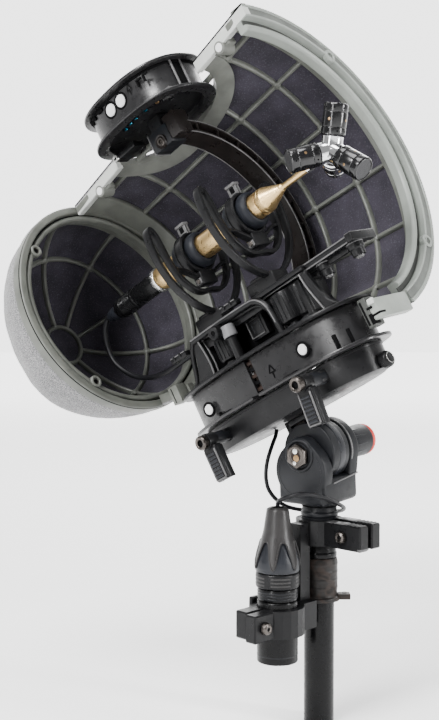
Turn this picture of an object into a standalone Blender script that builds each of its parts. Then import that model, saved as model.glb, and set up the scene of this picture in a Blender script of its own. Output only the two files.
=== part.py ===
"""Condenser microphone: a four-capsule head in a two-hoop suspension, inside one half of an open
windshield, on a base hub, a tilting swivel and the end of a pole with a clipped-on connector.

World frame: +Z up along the pole, origin at the centre of the pole's lower end, metres.
Most pieces are drawn in the pod's own frame: X along the microphone, Y to the far side,
Z from the base hub to the top hub, origin midway between the two rim planes."""

from math import cos, pi, radians, sin

import bmesh
import bpy
from mathutils import Euler, Vector

# ---- driving dimensions ------------------------------------------------------------------------
GAP = 0.0003                       # between pieces that touch
POLE_R = 0.008
POLE_TOP = 0.0885
TILT_Z = 0.145                     # height of the tilt axis
TILT_HEADING = radians(50)         # the tilt axis, from +X towards +Y
TILT_RISE = radians(3.5)           # the axis climbs this much towards the knob
POD_ROTATION = Euler((radians(8.4), radians(-25.9), radians(-44.8)))
POD_OFFSET = Vector((-0.0079, -0.0003, 0.1336))   # pod centre from the tilt axis, in the pod's frame

REAR_R = 0.0676                    # outer radius of the rear ring
FRONT_R = 0.0903                   # outer radius of the front rim
RIM_X = 0.0857                     # the rim planes are at -RIM_X and +RIM_X
DOME_DEPTH = 0.062
SKIN = 0.0012
RIB = 0.0024
HOOP_X = (-0.0466, 0.0193, 0.0504)
MERIDIAN_STEP = radians(180 / 7)
DOME_RIBS = 9
DOME_HOOP_X = -0.1263
DOME_HUB_R = 0.0135

TOP_HUB = (0.0345, 0.0250)         # half length and half width of the hub's wall
TOP_X = 0.001                      # the top hub's middle, along the pod
TOP_HUB_Z = (0.0712, 0.0915)
BASE_HUB = (0.0620, 0.0255)
BASE_X = 0.008                     # the base hub's middle, along the pod
BASE_Z = (-0.0974, -0.0740)
BASE_SEAM_X = 0.0095
CAP_Z = -0.1125

ARM_X = (0.0045, 0.0185)
ARM_R = (0.0590, 0.0660)
ARM_Z = -0.003

MIC_Z = -0.0040
MIC_R = 0.0070
RAIL_Z = (-0.0505, -0.0470)
LYRE_X = (-0.0140, 0.0300)         # rear and front hoop planes
HUB_X = 0.0954                     # centre of the capsule mount
CAPSULE_R = 0.0056

CLIP_Z = (0.0960, 0.1090)
CONNECTOR_OUT = 0.0331             # connector axis from the pole axis
CONNECTOR_HEADING = radians(225)
CONNECTOR_R = 0.0105
LOWER_CLIP_Z = (0.0540, 0.0680)

TURN_X = (0.0, pi / 2, 0.0)        # turns a piece drawn along Z to lie along X
TURN_Y = (-pi / 2, 0.0, 0.0)       # turns a piece drawn along Z to lie along Y

COLOURS = {
    "black_plastic": ((0.030, 0.030, 0.032), 0.45, 0.0),
    "rubber": ((0.045, 0.048, 0.055), 0.75, 0.0),
    "olive_plastic": ((0.20, 0.205, 0.185), 0.50, 0.0),
    "pale_plastic": ((0.62, 0.64, 0.60), 0.50, 0.0),
    "fabric": ((0.55, 0.55, 0.56), 0.90, 0.0),
    "gold": ((0.72, 0.50, 0.24), 0.30, 1.0),
    "chrome": ((0.80, 0.80, 0.82), 0.12, 1.0),
    "steel": ((0.55, 0.54, 0.53), 0.30, 1.0),
    "worn_metal": ((0.16, 0.12, 0.10), 0.60, 0.8),
    "grey_plastic": ((0.16, 0.17, 0.19), 0.50, 0.0),
    "red_plastic": ((0.60, 0.05, 0.04), 0.45, 0.0),
    "black_metal": ((0.020, 0.020, 0.022), 0.35, 0.6),
}

for old in list(bpy.data.objects):
    bpy.data.objects.remove(old, do_unlink=True)


def collection(name):
    made = bpy.data.collections.new(name)
    bpy.context.scene.collection.children.link(made)
    return made


PARTS = collection("condenser_microphone")
CUTTERS = collection("cutters")


def material(name):
    if name in bpy.data.materials:
        return bpy.data.materials[name]
    colour, rough, metal = COLOURS[name]
    made = bpy.data.materials.new(name)
    made.use_nodes = True
    shader = made.node_tree.nodes["Principled BSDF"]
    shader.inputs["Base Color"].default_value = (*colour, 1.0)
    shader.inputs["Roughness"].default_value = rough
    shader.inputs["Metallic"].default_value = metal
    return made


def frame(name, location, rotation, parent=None):
    """An empty that pieces are parented to."""
    made = bpy.data.objects.new(name, None)
    made.location = location
    made.rotation_euler = rotation
    made.parent = parent
    PARTS.objects.link(made)
    return made


HEAD = frame("head_frame", (0, 0, TILT_Z), POD_ROTATION)
POD = frame("pod_frame", POD_OFFSET, (0, 0, 0), HEAD)
SWIVEL = frame("swivel_frame", (0, 0, TILT_Z), (0, -TILT_RISE, TILT_HEADING))
STAND = frame("stand_frame", (0, 0, 0), (0, 0, 0))
CONNECTOR = frame("connector_frame", (CONNECTOR_OUT * cos(CONNECTOR_HEADING),
                                      CONNECTOR_OUT * sin(CONNECTOR_HEADING), 0),
                  (0, 0, radians(45)))
CLIP = frame("clip_frame", (0, 0, 0), (0, 0, radians(-45)))


def place(obj, slot, parent, location=(0, 0, 0), rotation=(0, 0, 0), smooth=35):
    """Gives a new object its material, place and parent; a slot of None makes it a cutter."""
    obj.location = location
    obj.rotation_euler = rotation
    obj.parent = parent
    if slot is None:
        CUTTERS.objects.link(obj)
        obj.hide_render = True
        obj.display_type = "WIRE"
        return obj
    PARTS.objects.link(obj)
    obj.data.materials.append(material(slot))
    if smooth and obj.type == "MESH":
        obj.data.shade_smooth()
        obj.data.set_sharp_from_angle(angle=radians(smooth))
    return obj


def from_bmesh(name, shape):
    mesh = bpy.data.meshes.new(name)
    shape.to_mesh(mesh)
    shape.free()
    return bpy.data.objects.new(name, mesh)


def box(name, low, high, slot, parent, rotation=(0, 0, 0), bevel=0.0):
    """A box between two corners; rotation turns it about its own centre."""
    low, high = Vector(low), Vector(high)
    shape = bmesh.new()
    bmesh.ops.create_cube(shape, size=1.0)
    bmesh.ops.scale(shape, vec=high - low, verts=shape.verts)
    obj = from_bmesh(name, shape)
    if bevel:
        edges = obj.modifiers.new("edges", "BEVEL")
        edges.width = bevel
        edges.segments = 1
    centre = (low + high) / 2
    return place(obj, slot, parent, centre, rotation, smooth=0)


def rod(name, radius, length, centre, slot, parent, rotation=(0, 0, 0), sides=20, tip=None):
    """A cylinder, or a cone frustum with the given tip radius at its +Z end."""
    shape = bmesh.new()
    bmesh.ops.create_cone(shape, cap_ends=True, segments=sides, radius1=radius,
                          radius2=radius if tip is None else tip, depth=length)
    return place(from_bmesh(name, shape), slot, parent, centre, rotation)


def turned(name, profile, slot, parent, location=(0, 0, 0), rotation=(0, 0, 0),
           steps=20, closed=False):
    """A solid of revolution; the (radius, height) profile runs down the outer side."""
    mesh = bpy.data.meshes.new(name)
    count = len(profile)
    edges = [(i, i + 1) for i in range(count - 1)]
    if closed:
        edges.append((count - 1, 0))
    mesh.from_pydata([(r, 0, z) for r, z in profile], edges, [])
    obj = bpy.data.objects.new(name, mesh)
    screw = obj.modifiers.new("turn", "SCREW")
    screw.steps = steps
    screw.render_steps = steps
    screw.use_merge_vertices = True
    screw.merge_threshold = 0.00001
    screw.use_smooth_shade = True
    return place(obj, slot, parent, location, rotation, smooth=0)


def ring(name, inner, outer, low, high, slot, parent, location=(0, 0, 0),
         rotation=(0, 0, 0), steps=20):
    """A plain ring between two radii and two heights."""
    return turned(name, [(outer, high), (outer, low), (inner, low), (inner, high)], slot,
                  parent, location, rotation, steps, closed=True)


def boolean(obj, other, operation):
    made = obj.modifiers.new(operation.lower(), "BOOLEAN")
    made.operation = operation
    made.solver = "EXACT"
    made.object = other
    return obj


def cut(obj, *others):
    for other in others:
        boolean(obj, other, "DIFFERENCE")
    return obj


def join(obj, *others):
    for other in others:
        boolean(obj, other, "UNION")
    return obj


def keep(obj, other):
    return boolean(obj, other, "INTERSECT")


def boat(half_length, half_width, power=2.5, count=28):
    """The hubs' rounded outline: a superellipse."""
    points = []
    for k in range(count):
        a = 2 * pi * k / count
        c, s = cos(a), sin(a)
        points.append((half_length * abs(c) ** (2 / power) * (1 if c >= 0 else -1),
                       half_width * abs(s) ** (2 / power) * (1 if s >= 0 else -1)))
    return points


def plate(name, outline, low, high, slot, parent, location=(0, 0, 0), rotation=(0, 0, 0),
          taper=(1.0, 1.0)):
    """An outline extruded from low to high; taper scales its lower face along X and Y."""
    shape = bmesh.new()
    top = shape.faces.new([shape.verts.new((x, y, high)) for x, y in outline])
    made = bmesh.ops.extrude_face_region(shape, geom=[top])
    for item in made["geom"]:
        if isinstance(item, bmesh.types.BMVert):
            item.co = (item.co.x * taper[0], item.co.y * taper[1], low)
    bmesh.ops.recalc_face_normals(shape, faces=shape.faces)
    return place(from_bmesh(name, shape), slot, parent, location, rotation)


def tube(name, points, radius, slot, parent, cyclic=False, resolution=2, caps=True):
    """A round wire along a poly line."""
    data = bpy.data.curves.new(name, "CURVE")
    data.dimensions = "3D"
    data.bevel_depth = radius
    data.bevel_resolution = resolution
    data.use_fill_caps = caps and not cyclic
    line = data.splines.new("POLY")
    line.points.add(len(points) - 1)
    for knot, point in zip(line.points, points):
        knot.co = (*point, 1.0)
    line.use_cyclic_u = cyclic
    return place(bpy.data.objects.new(name, data), slot, parent, smooth=0)


def smooth_path(knots, per_span):
    """Points along a smooth curve through the knots (Catmull-Rom)."""
    knots = [Vector(k) for k in knots]
    padded = [2 * knots[0] - knots[1], *knots, 2 * knots[-1] - knots[-2]]
    path = []
    for i in range(1, len(padded) - 2):
        a, b, c, d = padded[i - 1:i + 3]
        for k in range(per_span):
            t = k / per_span
            path.append(0.5 * (2 * b + (c - a) * t + (2 * a - 5 * b + 4 * c - d) * t ** 2
                               + (3 * b - a - 3 * c + d) * t ** 3))
    path.append(knots[-1])
    return path


def as_mesh(obj):
    """A curve object made into a mesh object with its caps welded."""
    bpy.context.view_layer.update()
    evaluated = obj.evaluated_get(bpy.context.evaluated_depsgraph_get())
    mesh = bpy.data.meshes.new_from_object(evaluated)
    shape = bmesh.new()
    shape.from_mesh(mesh)
    bmesh.ops.remove_doubles(shape, verts=shape.verts, dist=0.00001)
    shape.to_mesh(mesh)
    shape.free()
    made = bpy.data.objects.new(obj.name + "_mesh", mesh)
    for group in obj.users_collection:
        group.objects.link(made)
    made.parent = obj.parent
    made.hide_render = obj.hide_render
    made.display_type = obj.display_type
    name = obj.name
    bpy.data.objects.remove(obj)
    made.name = name
    return made


def around(x, angle, radius):
    """A point of the pod by its X, its angle from the top towards the far side, its radius."""
    return Vector((x, radius * sin(angle), radius * cos(angle)))


def skin_radius(x):
    """Outer radius of the barrel's skin."""
    return (REAR_R + FRONT_R) / 2 + (FRONT_R - REAR_R) / (2 * RIM_X) * x


def near_half(low_x, high_x, name):
    """Cuts away what lies on the near side of the pod's middle plane."""
    return box(name, (low_x, -0.12, -0.12), (high_x, 0.0002, 0.12), None, POD)


# ---- basket: rings, lattice, skins ---------------------------------------------------------------
def hub_cutter(name, half, low, high, extra, x=0.0):
    outline = boat(half[0] + extra, half[1] + extra)
    return plate(name, outline, low, high, None, POD, (x, 0, 0))


def cone_shell(name, outer_gap, thickness, low_x, high_x, slot, steps=28):
    """A slice of the barrel's cone, drawn along Z and turned to lie along X."""
    outer = [(skin_radius(x) - outer_gap, x) for x in (high_x, low_x)]
    inner = [(r - thickness, x) for r, x in reversed(outer)]
    return turned(name, outer + inner, slot, POD, (0, 0, 0), TURN_X, steps, closed=True)


def dome_arc(depth, radius, count=7):
    """The dome's outline from its rim to just off its pole."""
    points = []
    for k in range(count):
        a = (pi / 2) * k / (count - 1)
        points.append((radius * cos(a), -RIM_X - 0.0083 - (depth - 0.0083) * sin(a)))
    return points


def dome_shell(name, gap, thickness, slot, steps=28):
    outer = dome_arc(DOME_DEPTH - gap, REAR_R - 0.001 - gap)
    inner = dome_arc(DOME_DEPTH - gap - thickness, REAR_R - 0.001 - gap - thickness)
    outer[-1] = (0.0, outer[-1][1])
    inner[-1] = (0.0, inner[-1][1])
    return turned(name, inner[::-1] + outer, slot, POD, (0, 0, 0), TURN_X, steps)


def basket():
    rear = turned("rear_ring", [
        (REAR_R, -RIM_X), (REAR_R, -RIM_X - 0.008), (REAR_R - 0.006, -RIM_X - 0.008),
        (REAR_R - 0.009, -RIM_X - 0.006), (REAR_R - 0.009, -RIM_X - 0.0015),
        (REAR_R - 0.0045, -RIM_X - 0.0015), (REAR_R - 0.0045, -RIM_X)],
        "olive_plastic", POD, (0, 0, 0), TURN_X, 36, closed=True)
    front = turned("front_rim", [
        (FRONT_R, RIM_X), (FRONT_R, RIM_X - 0.009), (FRONT_R - 0.014, RIM_X - 0.009),
        (FRONT_R - 0.014, RIM_X - 0.0055), (FRONT_R - 0.0095, RIM_X - 0.0055),
        (FRONT_R - 0.0085, RIM_X)],
        "pale_plastic", POD, (0, 0, 0), TURN_X, 36, closed=True)
    cut(front, near_half(0.05, 0.12, "rim_split"),
        box("rim_base_room", (0.06, -0.03, -0.12), (0.095, 0.022, -0.07), None, POD))

    # barrel lattice: three hoops and seven bars, the rims' own band, and a collar at each hub
    bars = [box("bar_%d" % k, (-0.08, -0.0012, 0.055), (0.09, 0.0012, 0.11), None, POD)
            for k in range(7)]
    star = cone_shell("barrel_lattice", SKIN + GAP, RIB, -RIM_X + GAP, RIM_X - 0.0093,
                      "olive_plastic")
    wedge = bars[0]
    for k, bar in enumerate(bars):
        angle = MERIDIAN_STEP * (k + 0.5)
        bar.rotation_euler = (-angle, 0, 0)
        centre = around(0.005, angle, 0.0825)
        bar.location = centre
    join(wedge, *bars[1:])
    bands = [(x - 0.0015, x + 0.0015) for x in HOOP_X] + [(-0.10, -0.0715), (0.0705, 0.10)]
    hoops = [cone_shell("hoop_%d" % k, -0.004, 0.012, *band, None)
             for k, band in enumerate(bands)]
    collar_top = plate("collar_top", boat(0.052, 0.040), 0.04, 0.11, None, POD)
    collar_base = plate("collar_base", boat(0.074, 0.040), -0.11, -0.04, None, POD, (BASE_X, 0, 0))
    join(wedge, *hoops, collar_top, collar_base)
    wedge.name = "lattice_plan"
    strips = [box("strip_top", (-0.0950, -0.01, 0.056), (0.0900, 0.0060, 0.1005), None, POD),
              box("strip_base", (-0.0950, -0.01, -0.1005), (0.0900, 0.0060, -0.056), None, POD)]
    join(wedge, *strips)
    cut(star, near_half(-0.09, 0.12, "lattice_split"),
        hub_cutter("top_room", TOP_HUB, 0.04, 0.12, 0.0062, TOP_X),
        hub_cutter("base_room", BASE_HUB, -0.12, -0.04, 0.0062, BASE_X))
    keep(star, wedge)

    skin = cone_shell("barrel_skin", 0.0, SKIN, -RIM_X + GAP, RIM_X - 0.0093, "fabric")
    cut(skin, near_half(-0.09, 0.12, "skin_split"),
        hub_cutter("top_skin_room", TOP_HUB, 0.04, 0.12, 0.0062, TOP_X),
        hub_cutter("base_skin_room", BASE_HUB, -0.12, -0.04, 0.0062, BASE_X))

    dome_shell("dome_skin", 0.0, SKIN, "fabric")
    lattice = dome_shell("dome_lattice", SKIN + GAP, RIB, "olive_plastic")
    spokes = []
    for k in range(DOME_RIBS):
        angle = radians(-5) + 2 * pi * k / DOME_RIBS
        spoke = box("spoke_%d" % k, (-0.16, -0.0012, 0.006), (-0.05, 0.0012, 0.08), None, POD)
        spoke.rotation_euler = (-angle, 0, 0)
        spoke.location = around(-0.105, angle, 0.043)
        spokes.append(spoke)
    hub = rod("dome_hub", DOME_HUB_R, 0.03, (-0.14, 0, 0), None, POD, TURN_X, 24)
    hoop = ring("dome_hoop", 0.03, 0.07, DOME_HOOP_X - 0.0014, DOME_HOOP_X + 0.0014, None, POD,
                (0, 0, 0), TURN_X, 28)
    lip = ring("dome_lip", 0.03, 0.09, -RIM_X - 0.0135, -RIM_X - 0.002, None, POD, (0, 0, 0),
               TURN_X, 28)
    join(spokes[0], *spokes[1:], hub, hoop, lip)
    keep(lattice, spokes[0])

    box("latch_block_rear", (-0.0690, -0.0080, -0.0735), (-0.0612, 0.0000, -0.0625),
        "pale_plastic", POD, bevel=0.0006)
    latch = box("latch_block_front", (0.0714, -0.0090, -0.0935), (0.0793, -0.0003, -0.0768),
                "pale_plastic", POD, bevel=0.0006)
    join(latch, box("latch_arm", (0.0770, -0.0080, -0.0905), (0.0845, 0.0216, -0.0800), None, POD))


LEVER_Y = -0.0362                   # middle of the lock levers
LEVERS = (("rear", -0.0283, -0.1050, 0.0), ("front", 0.0459, -0.1035, -0.107))


# ---- hubs and arm -------------------------------------------------------------------------------
def hub_wall(name, half, low, high, wall, flange, slot, x=0.0, top_flange=True):
    """An open boat-shaped wall with a flange at its lower edge and, if asked, its upper."""
    body = plate(name, boat(*half), low, high, slot, POD, (x, 0, 0))
    wide = (half[0] + flange, half[1] + flange)
    edges = [plate(name + "_low", boat(*wide), low, low + 0.0018, None, POD, (x, 0, 0))]
    if top_flange:
        edges.append(plate(name + "_high", boat(*wide), high - 0.0018, high, None, POD, (x, 0, 0)))
    join(body, *edges)
    inner = boat(half[0] - wall, half[1] - wall)
    cut(body, plate(name + "_room", inner, low - 0.01, high + 0.01, None, POD, (x, 0, 0)))
    return body


def top_hub():
    low, high = TOP_HUB_Z
    wall = hub_wall("top_hub_wall", TOP_HUB, low, high, 0.0024, 0.0048, "black_plastic", TOP_X)
    wide = boat(TOP_HUB[0] - 0.0027, TOP_HUB[1] - 0.0027)
    plate("top_hub_lid", wide, high - 0.0045, high - 0.0020, "black_plastic", POD, (TOP_X, 0, 0))
    inside = boat(TOP_HUB[0] - 0.0010, TOP_HUB[1] - 0.0010)
    join(wall, plate("top_hub_floor", inside, low + 0.0030, low + 0.0055, None, POD, (TOP_X, 0, 0)))


def base_hub():
    low, high = BASE_Z
    wide = (BASE_HUB[0] + 0.0045, BASE_HUB[1] + 0.0040)
    plate("base_deck", boat(*wide), high - 0.0020, high, "black_plastic", POD,
          (BASE_X, 0, 0))
    for name, cut_low, cut_high in (("base_wall_rear", BASE_SEAM_X - 0.0006, 0.1),
                                    ("base_wall_front", -0.1, BASE_SEAM_X + 0.0006)):
        wall = hub_wall(name, BASE_HUB, low, high - 0.0023, 0.0024, 0.0055, "black_plastic",
                        BASE_X, top_flange=False)
        cut(wall, box(name + "_seam", (cut_low, -0.05, -0.12), (cut_high, 0.05, -0.05), None,
                      POD))
    band = plate("seam_band", boat(BASE_HUB[0] - 0.0027, BASE_HUB[1] - 0.0027), low + 0.001,
                 high - 0.0023, "worn_metal", POD, (BASE_X, 0, 0))
    cut(band, plate("seam_room", boat(BASE_HUB[0] - 0.0042, BASE_HUB[1] - 0.0042), -0.12,
                    -0.05, None, POD, (BASE_X, 0, 0)),
        box("band_rear", (-0.1, -0.05, -0.12), (BASE_SEAM_X - 0.005, 0.05, -0.05), None, POD),
        box("band_front", (BASE_SEAM_X + 0.005, -0.05, -0.12), (0.1, 0.05, -0.05), None, POD))
    join(band, box("seam_bulkhead", (BASE_SEAM_X - 0.0010, -0.0220, low + 0.0025),
                   (BASE_SEAM_X + 0.0010, 0.0220, high - 0.0040), None, POD))
    cap = plate("base_cap", boat(BASE_HUB[0] - 0.001, BASE_HUB[1] - 0.001), CAP_Z, low - GAP,
                "black_plastic", POD, (BASE_X, 0, 0), taper=(0.95, 0.82))
    for name, x, z, _ in LEVERS:
        join(cap, rod("lever_boss_" + name, 0.0036, 0.0120, (x, -0.0265, z), None, POD, TURN_Y, 16))
        cut(cap, rod("boss_bore_" + name, 0.0020, 0.0200, (x, -0.0300, z), None, POD, TURN_Y, 16))
    turned("end_knob", [(0.0, 0.0060), (0.0030, 0.0060), (0.0042, 0.0048), (0.0042, 0.0012),
                        (0.0032, 0.0), (0.0, 0.0)],
           "black_plastic", POD, (BASE_X + BASE_HUB[0] - 0.0022, 0, -0.1088), TURN_X, 20)


def levers():
    """Lock levers turn on bolts that stand out of the cap's near side."""
    for name, x, z, lean in LEVERS:
        arm = box("lock_lever_" + name, (-0.0048, -0.0030, -0.0103), (0.0048, 0.0030, 0.0103),
                  "black_plastic", POD, bevel=0.0010)
        arm.location = (x + 0.0122 * sin(lean), LEVER_Y, z - 0.0122 * cos(lean))
        arm.rotation_euler = (0, -lean, 0)
        barrel = rod("barrel_" + name, 0.0042, 0.0070, (x, LEVER_Y, z), None, POD, TURN_Y, 20)
        join(arm, barrel)
        cut(arm, rod("bore_" + name, 0.0020, 0.03, (x, LEVER_Y, z), None, POD, TURN_Y, 16))
        turned("lever_bolt_" + name, [(0.0, 0.0180), (0.0016, 0.0180), (0.0016, 0.0036),
                                      (0.0038, 0.0036), (0.0038, 0.0), (0.0018, 0.0),
                                      (0.0018, 0.0020), (0.0, 0.0020)],
               "steel", POD, (x, LEVER_Y - 0.0075, z), TURN_Y, 16)


def arm():
    """The C-shaped arm on the far side, from the top hub's floor to the base deck."""
    beam = ring("c_arm", *ARM_R, *ARM_X, "black_metal", POD, (0, 0, ARM_Z), TURN_X, 40)
    cut(beam, box("arm_near", (-0.01, -0.1, -0.1), (0.03, 0.0, 0.1), None, POD),
        box("arm_low", (-0.01, -0.1, -0.1), (0.03, 0.0270, 0.0), None, POD))
    web = ring("arm_web", ARM_R[0] + 0.0014, ARM_R[1] - 0.0014, ARM_X[1] - 0.0050,
               ARM_X[1] + 0.003, None, POD, (0, 0, ARM_Z), TURN_X, 40)
    for k in range(11):
        angle = radians(12 + 14 * k)
        rib = box("arm_rib_%d" % k, (ARM_X[1] - 0.006, -0.0009, 0.055),
                  (ARM_X[1] + 0.004, 0.0009, 0.070), None, POD)
        rib.rotation_euler = (-angle, 0, 0)
        rib.location = around(ARM_X[1] - 0.001, angle, 0.0625) + Vector((0, 0, ARM_Z))
        cut(web, rib)
    cut(beam, web)
    foot_top = box("arm_foot_top", (-0.0050, -0.0060, 0.0540), (ARM_X[1], 0.0070, 0.0741),
                   None, POD)
    foot_low = box("arm_foot_low", (ARM_X[0], 0.0215, BASE_Z[1] + GAP), (ARM_X[1], 0.0275, -0.0560),
                   None, POD)
    knee = box("arm_knee", (ARM_X[0], 0.0235, -0.0620), (ARM_X[1], 0.0330, -0.0560), None, POD)
    join(beam, foot_top, knee, foot_low)


# ---- suspension ----------------------------------------------------------------------------------
def suspension():
    low, high = RAIL_Z
    deck = BASE_Z[1]
    block = box("saddle", (-0.0330, -0.0134, deck + GAP), (0.0480, 0.0134, low - 0.0048),
                "black_plastic", POD)
    grip = [box("saddle_lip_%d" % s, (-0.0330, s * 0.0116 - 0.0017, low - 0.0080),
                (0.0480, s * 0.0116 + 0.0017, high + 0.0004), None, POD) for s in (-1, 1)]
    arch = rod("saddle_arch", 0.0085, 0.06, (0.0290, 0, deck + 0.0045), None, POD, TURN_Y, 24)
    window = box("saddle_window", (-0.0230, -0.03, deck + 0.004), (0.0080, 0.03, low - 0.0100),
                 None, POD)
    join(block, *grip)
    cut(block, arch, window)
    rail = box("rail", (-0.0330, -0.0095, low - 0.0045), (0.0865, 0.0095, high),
               "black_plastic", POD)
    cut(rail, box("rail_slot", (-0.0280, -0.0028, -0.06), (0.0800, 0.0028, -0.04), None, POD),
        box("rail_channel", (-0.05, -0.0070, low - 0.01), (0.0600, 0.0070, low - 0.0010), None,
            POD))
    end = box("rail_end_block", (0.0855, -0.0105, low - 0.0030), (0.0915, 0.0105, high + 0.0010),
              None, POD, bevel=0.0006)
    posts = [rod("rail_post_%d" % k, 0.0038, 0.0085, (x, 0, low - 0.0055), None, POD, (0, 0, 0), 16)
             for k, x in enumerate((0.0860, 0.0645))]
    join(rail, end, *posts)
    turned("rail_lock_screw", [(0.0, 0.0035), (0.0036, 0.0035), (0.0036, -0.0035), (0.0, -0.0035)],
           "steel", POD, (-0.0080, -0.0175, low - 0.0030), TURN_Y, 16)

    for name, x in zip(("rear", "front"), LYRE_X):
        half = ((0, -0.0265), (-0.010, -0.0262), (-0.0190, -0.0180), (-0.0228, -0.0060),
                (-0.0238, 0.0050), (-0.0248, 0.0105), (-0.0270, 0.0135), (-0.0295, 0.0115),
                (-0.0308, 0.0040), (-0.0305, -0.0080), (-0.0265, -0.0210), (-0.0180, -0.0320),
                (-0.0080, -0.0385), (0, -0.0400))
        left = [(x, y, z) for y, z in half]
        right = [(x, -y, z) for y, z in reversed(half[1:-1])]
        hoop = tube("lyre_" + name, left + right, 0.0014, "black_plastic", POD, cyclic=True)
        hoop = as_mesh(hoop)
        foot = box("foot_" + name, (x - 0.0160, -0.0065, high + GAP), (x + 0.0050, 0.0065, -0.0385),
                   None, POD)
        join(hoop, foot)
        band = ring("clip_" + name, 0.0108, 0.0122, x - 0.0035, x + 0.0035, "black_plastic", POD,
                    (0, 0, MIC_Z), TURN_X, 24)
        tab = box("tab_" + name, (x - 0.0035, -0.0012, 0.0066), (x + 0.0035, 0.0012, 0.0145),
                  None, POD)
        block_low = box("clip_block_" + name, (x - 0.0035, -0.0060, -0.0235),
                        (x + 0.0035, 0.0060, -0.0155), None, POD)
        join(band, tab, block_low)
        cut(band, rod("band_bore_" + name, 0.0107, 0.02, (x, 0, MIC_Z), None, POD, TURN_X, 24),
            box("groove_" + name, (x - 0.01, -0.0002, 0.008), (x + 0.01, 0.0002, 0.02), None,
                POD))
        turned("sleeve_" + name, [
            (0.0092, 0.0095), (0.0104, 0.0080), (0.0104, -0.0080), (0.0092, -0.0095),
            (MIC_R + GAP, -0.0095), (MIC_R + GAP, 0.0095)],
            "rubber", POD, (x, 0, MIC_Z), TURN_X, 20, closed=True)


# ---- microphone ----------------------------------------------------------------------------------
def mic_piece(name, profile, slot, steps=20):
    """A turned piece on the microphone's axis; the profile is (radius, X) pairs, front first."""
    return turned(name, profile, slot, POD, (0, 0, MIC_Z), TURN_X, steps)


def capsules():
    twist = radians(83)
    third = 1 / 3 ** 0.5
    span = (2 / 3) ** 0.5
    headings = ((third, span * cos(twist), span * sin(twist)),
                (third, -span * cos(twist), -span * sin(twist)),
                (-third, -span * sin(twist), span * cos(twist)),
                (-third, span * sin(twist), -span * cos(twist)))
    centre = Vector((HUB_X, 0, MIC_Z))
    ball = turned("capsule_mount", [(0.0, 0.0050), (0.0028, 0.0042), (0.0045, 0.0022), (0.0050, 0.0),
                                    (0.0045, -0.0022), (0.0028, -0.0042), (0.0, -0.0050)],
                  "chrome", POD, centre, (0, 0, 0), 20)
    neck = rod("mount_neck", 0.0026, HUB_X - 0.0783, (0, 0, 0), None, POD, TURN_X, 16)
    neck.location = ((0.0783 + HUB_X) / 2, 0, MIC_Z)
    necks = [neck]
    for k, heading in enumerate(headings):
        heading = Vector(heading)
        turn = heading.to_track_quat("Z", "Y").to_euler()
        necks.append(rod("mount_leg_%d" % k, 0.0030, 0.0062, centre + heading * 0.0031, None,
                         POD, turn, 14))
        turned("capsule_%d" % (k + 1), [(0.0, 0.0140), (CAPSULE_R - 0.0006, 0.0140), (CAPSULE_R, 0.0134),
                                        (CAPSULE_R, 0.0006), (CAPSULE_R - 0.0006, 0.0), (0.0, 0.0)],
               "black_metal", POD, centre + heading * 0.0066, turn, 24)
    join(ball, *necks)


def microphone():
    mic_piece("mic_gland", [(0.0, -0.0860), (0.0042, -0.0860), (0.0042, -0.0905), (0.0028, -0.0960),
                            (0.0, -0.0960)], "rubber", 20)
    mic_piece("mic_barrel", [(0.0, -0.0480), (0.0062, -0.0480), (0.0062, -0.0820),
                             (0.0052, -0.0857), (0.0, -0.0857)], "black_metal")
    mic_piece("mic_ring", [(0.0, -0.0440), (0.0068, -0.0440), (0.0072, -0.0446),
                           (0.0072, -0.0471), (0.0068, -0.0477), (0.0, -0.0477)], "chrome")
    mic_piece("mic_tube", [(0.0, 0.0440), (MIC_R, 0.0440), (MIC_R, -0.0430),
                           (MIC_R - 0.0004, -0.0437), (0.0, -0.0437)], "gold")
    mic_piece("mic_cone", [(0.0, 0.0780), (0.0018, 0.0780), (0.0018, 0.0590), (0.0030, 0.0555),
                           (MIC_R, 0.0490), (MIC_R, 0.0443), (0.0, 0.0443)], "gold")
    capsules()
    # the cable's loop from the gland down and back under the suspension's rail
    loop = [(-0.0963, 0.0, MIC_Z), (-0.0990, 0.0, MIC_Z), (-0.1035, -0.0010, -0.0090),
            (-0.1060, -0.0020, -0.0180),
            (-0.1050, -0.0030, -0.0290), (-0.0990, -0.0030, -0.0390), (-0.0890, -0.0030, -0.0470),
            (-0.0760, -0.0030, -0.0515), (-0.0620, -0.0020, -0.0525), (-0.0480, 0.0, -0.0515),
            (-0.0405, 0.0, -0.0512)]
    tube("mic_cable", smooth_path(loop, 3), 0.0016, "rubber", POD)
    box("cable_anchor", (-0.0402, -0.0040, -0.0547), (-0.0333, 0.0040, -0.0480), "black_plastic",
        POD, bevel=0.0005)


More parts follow.
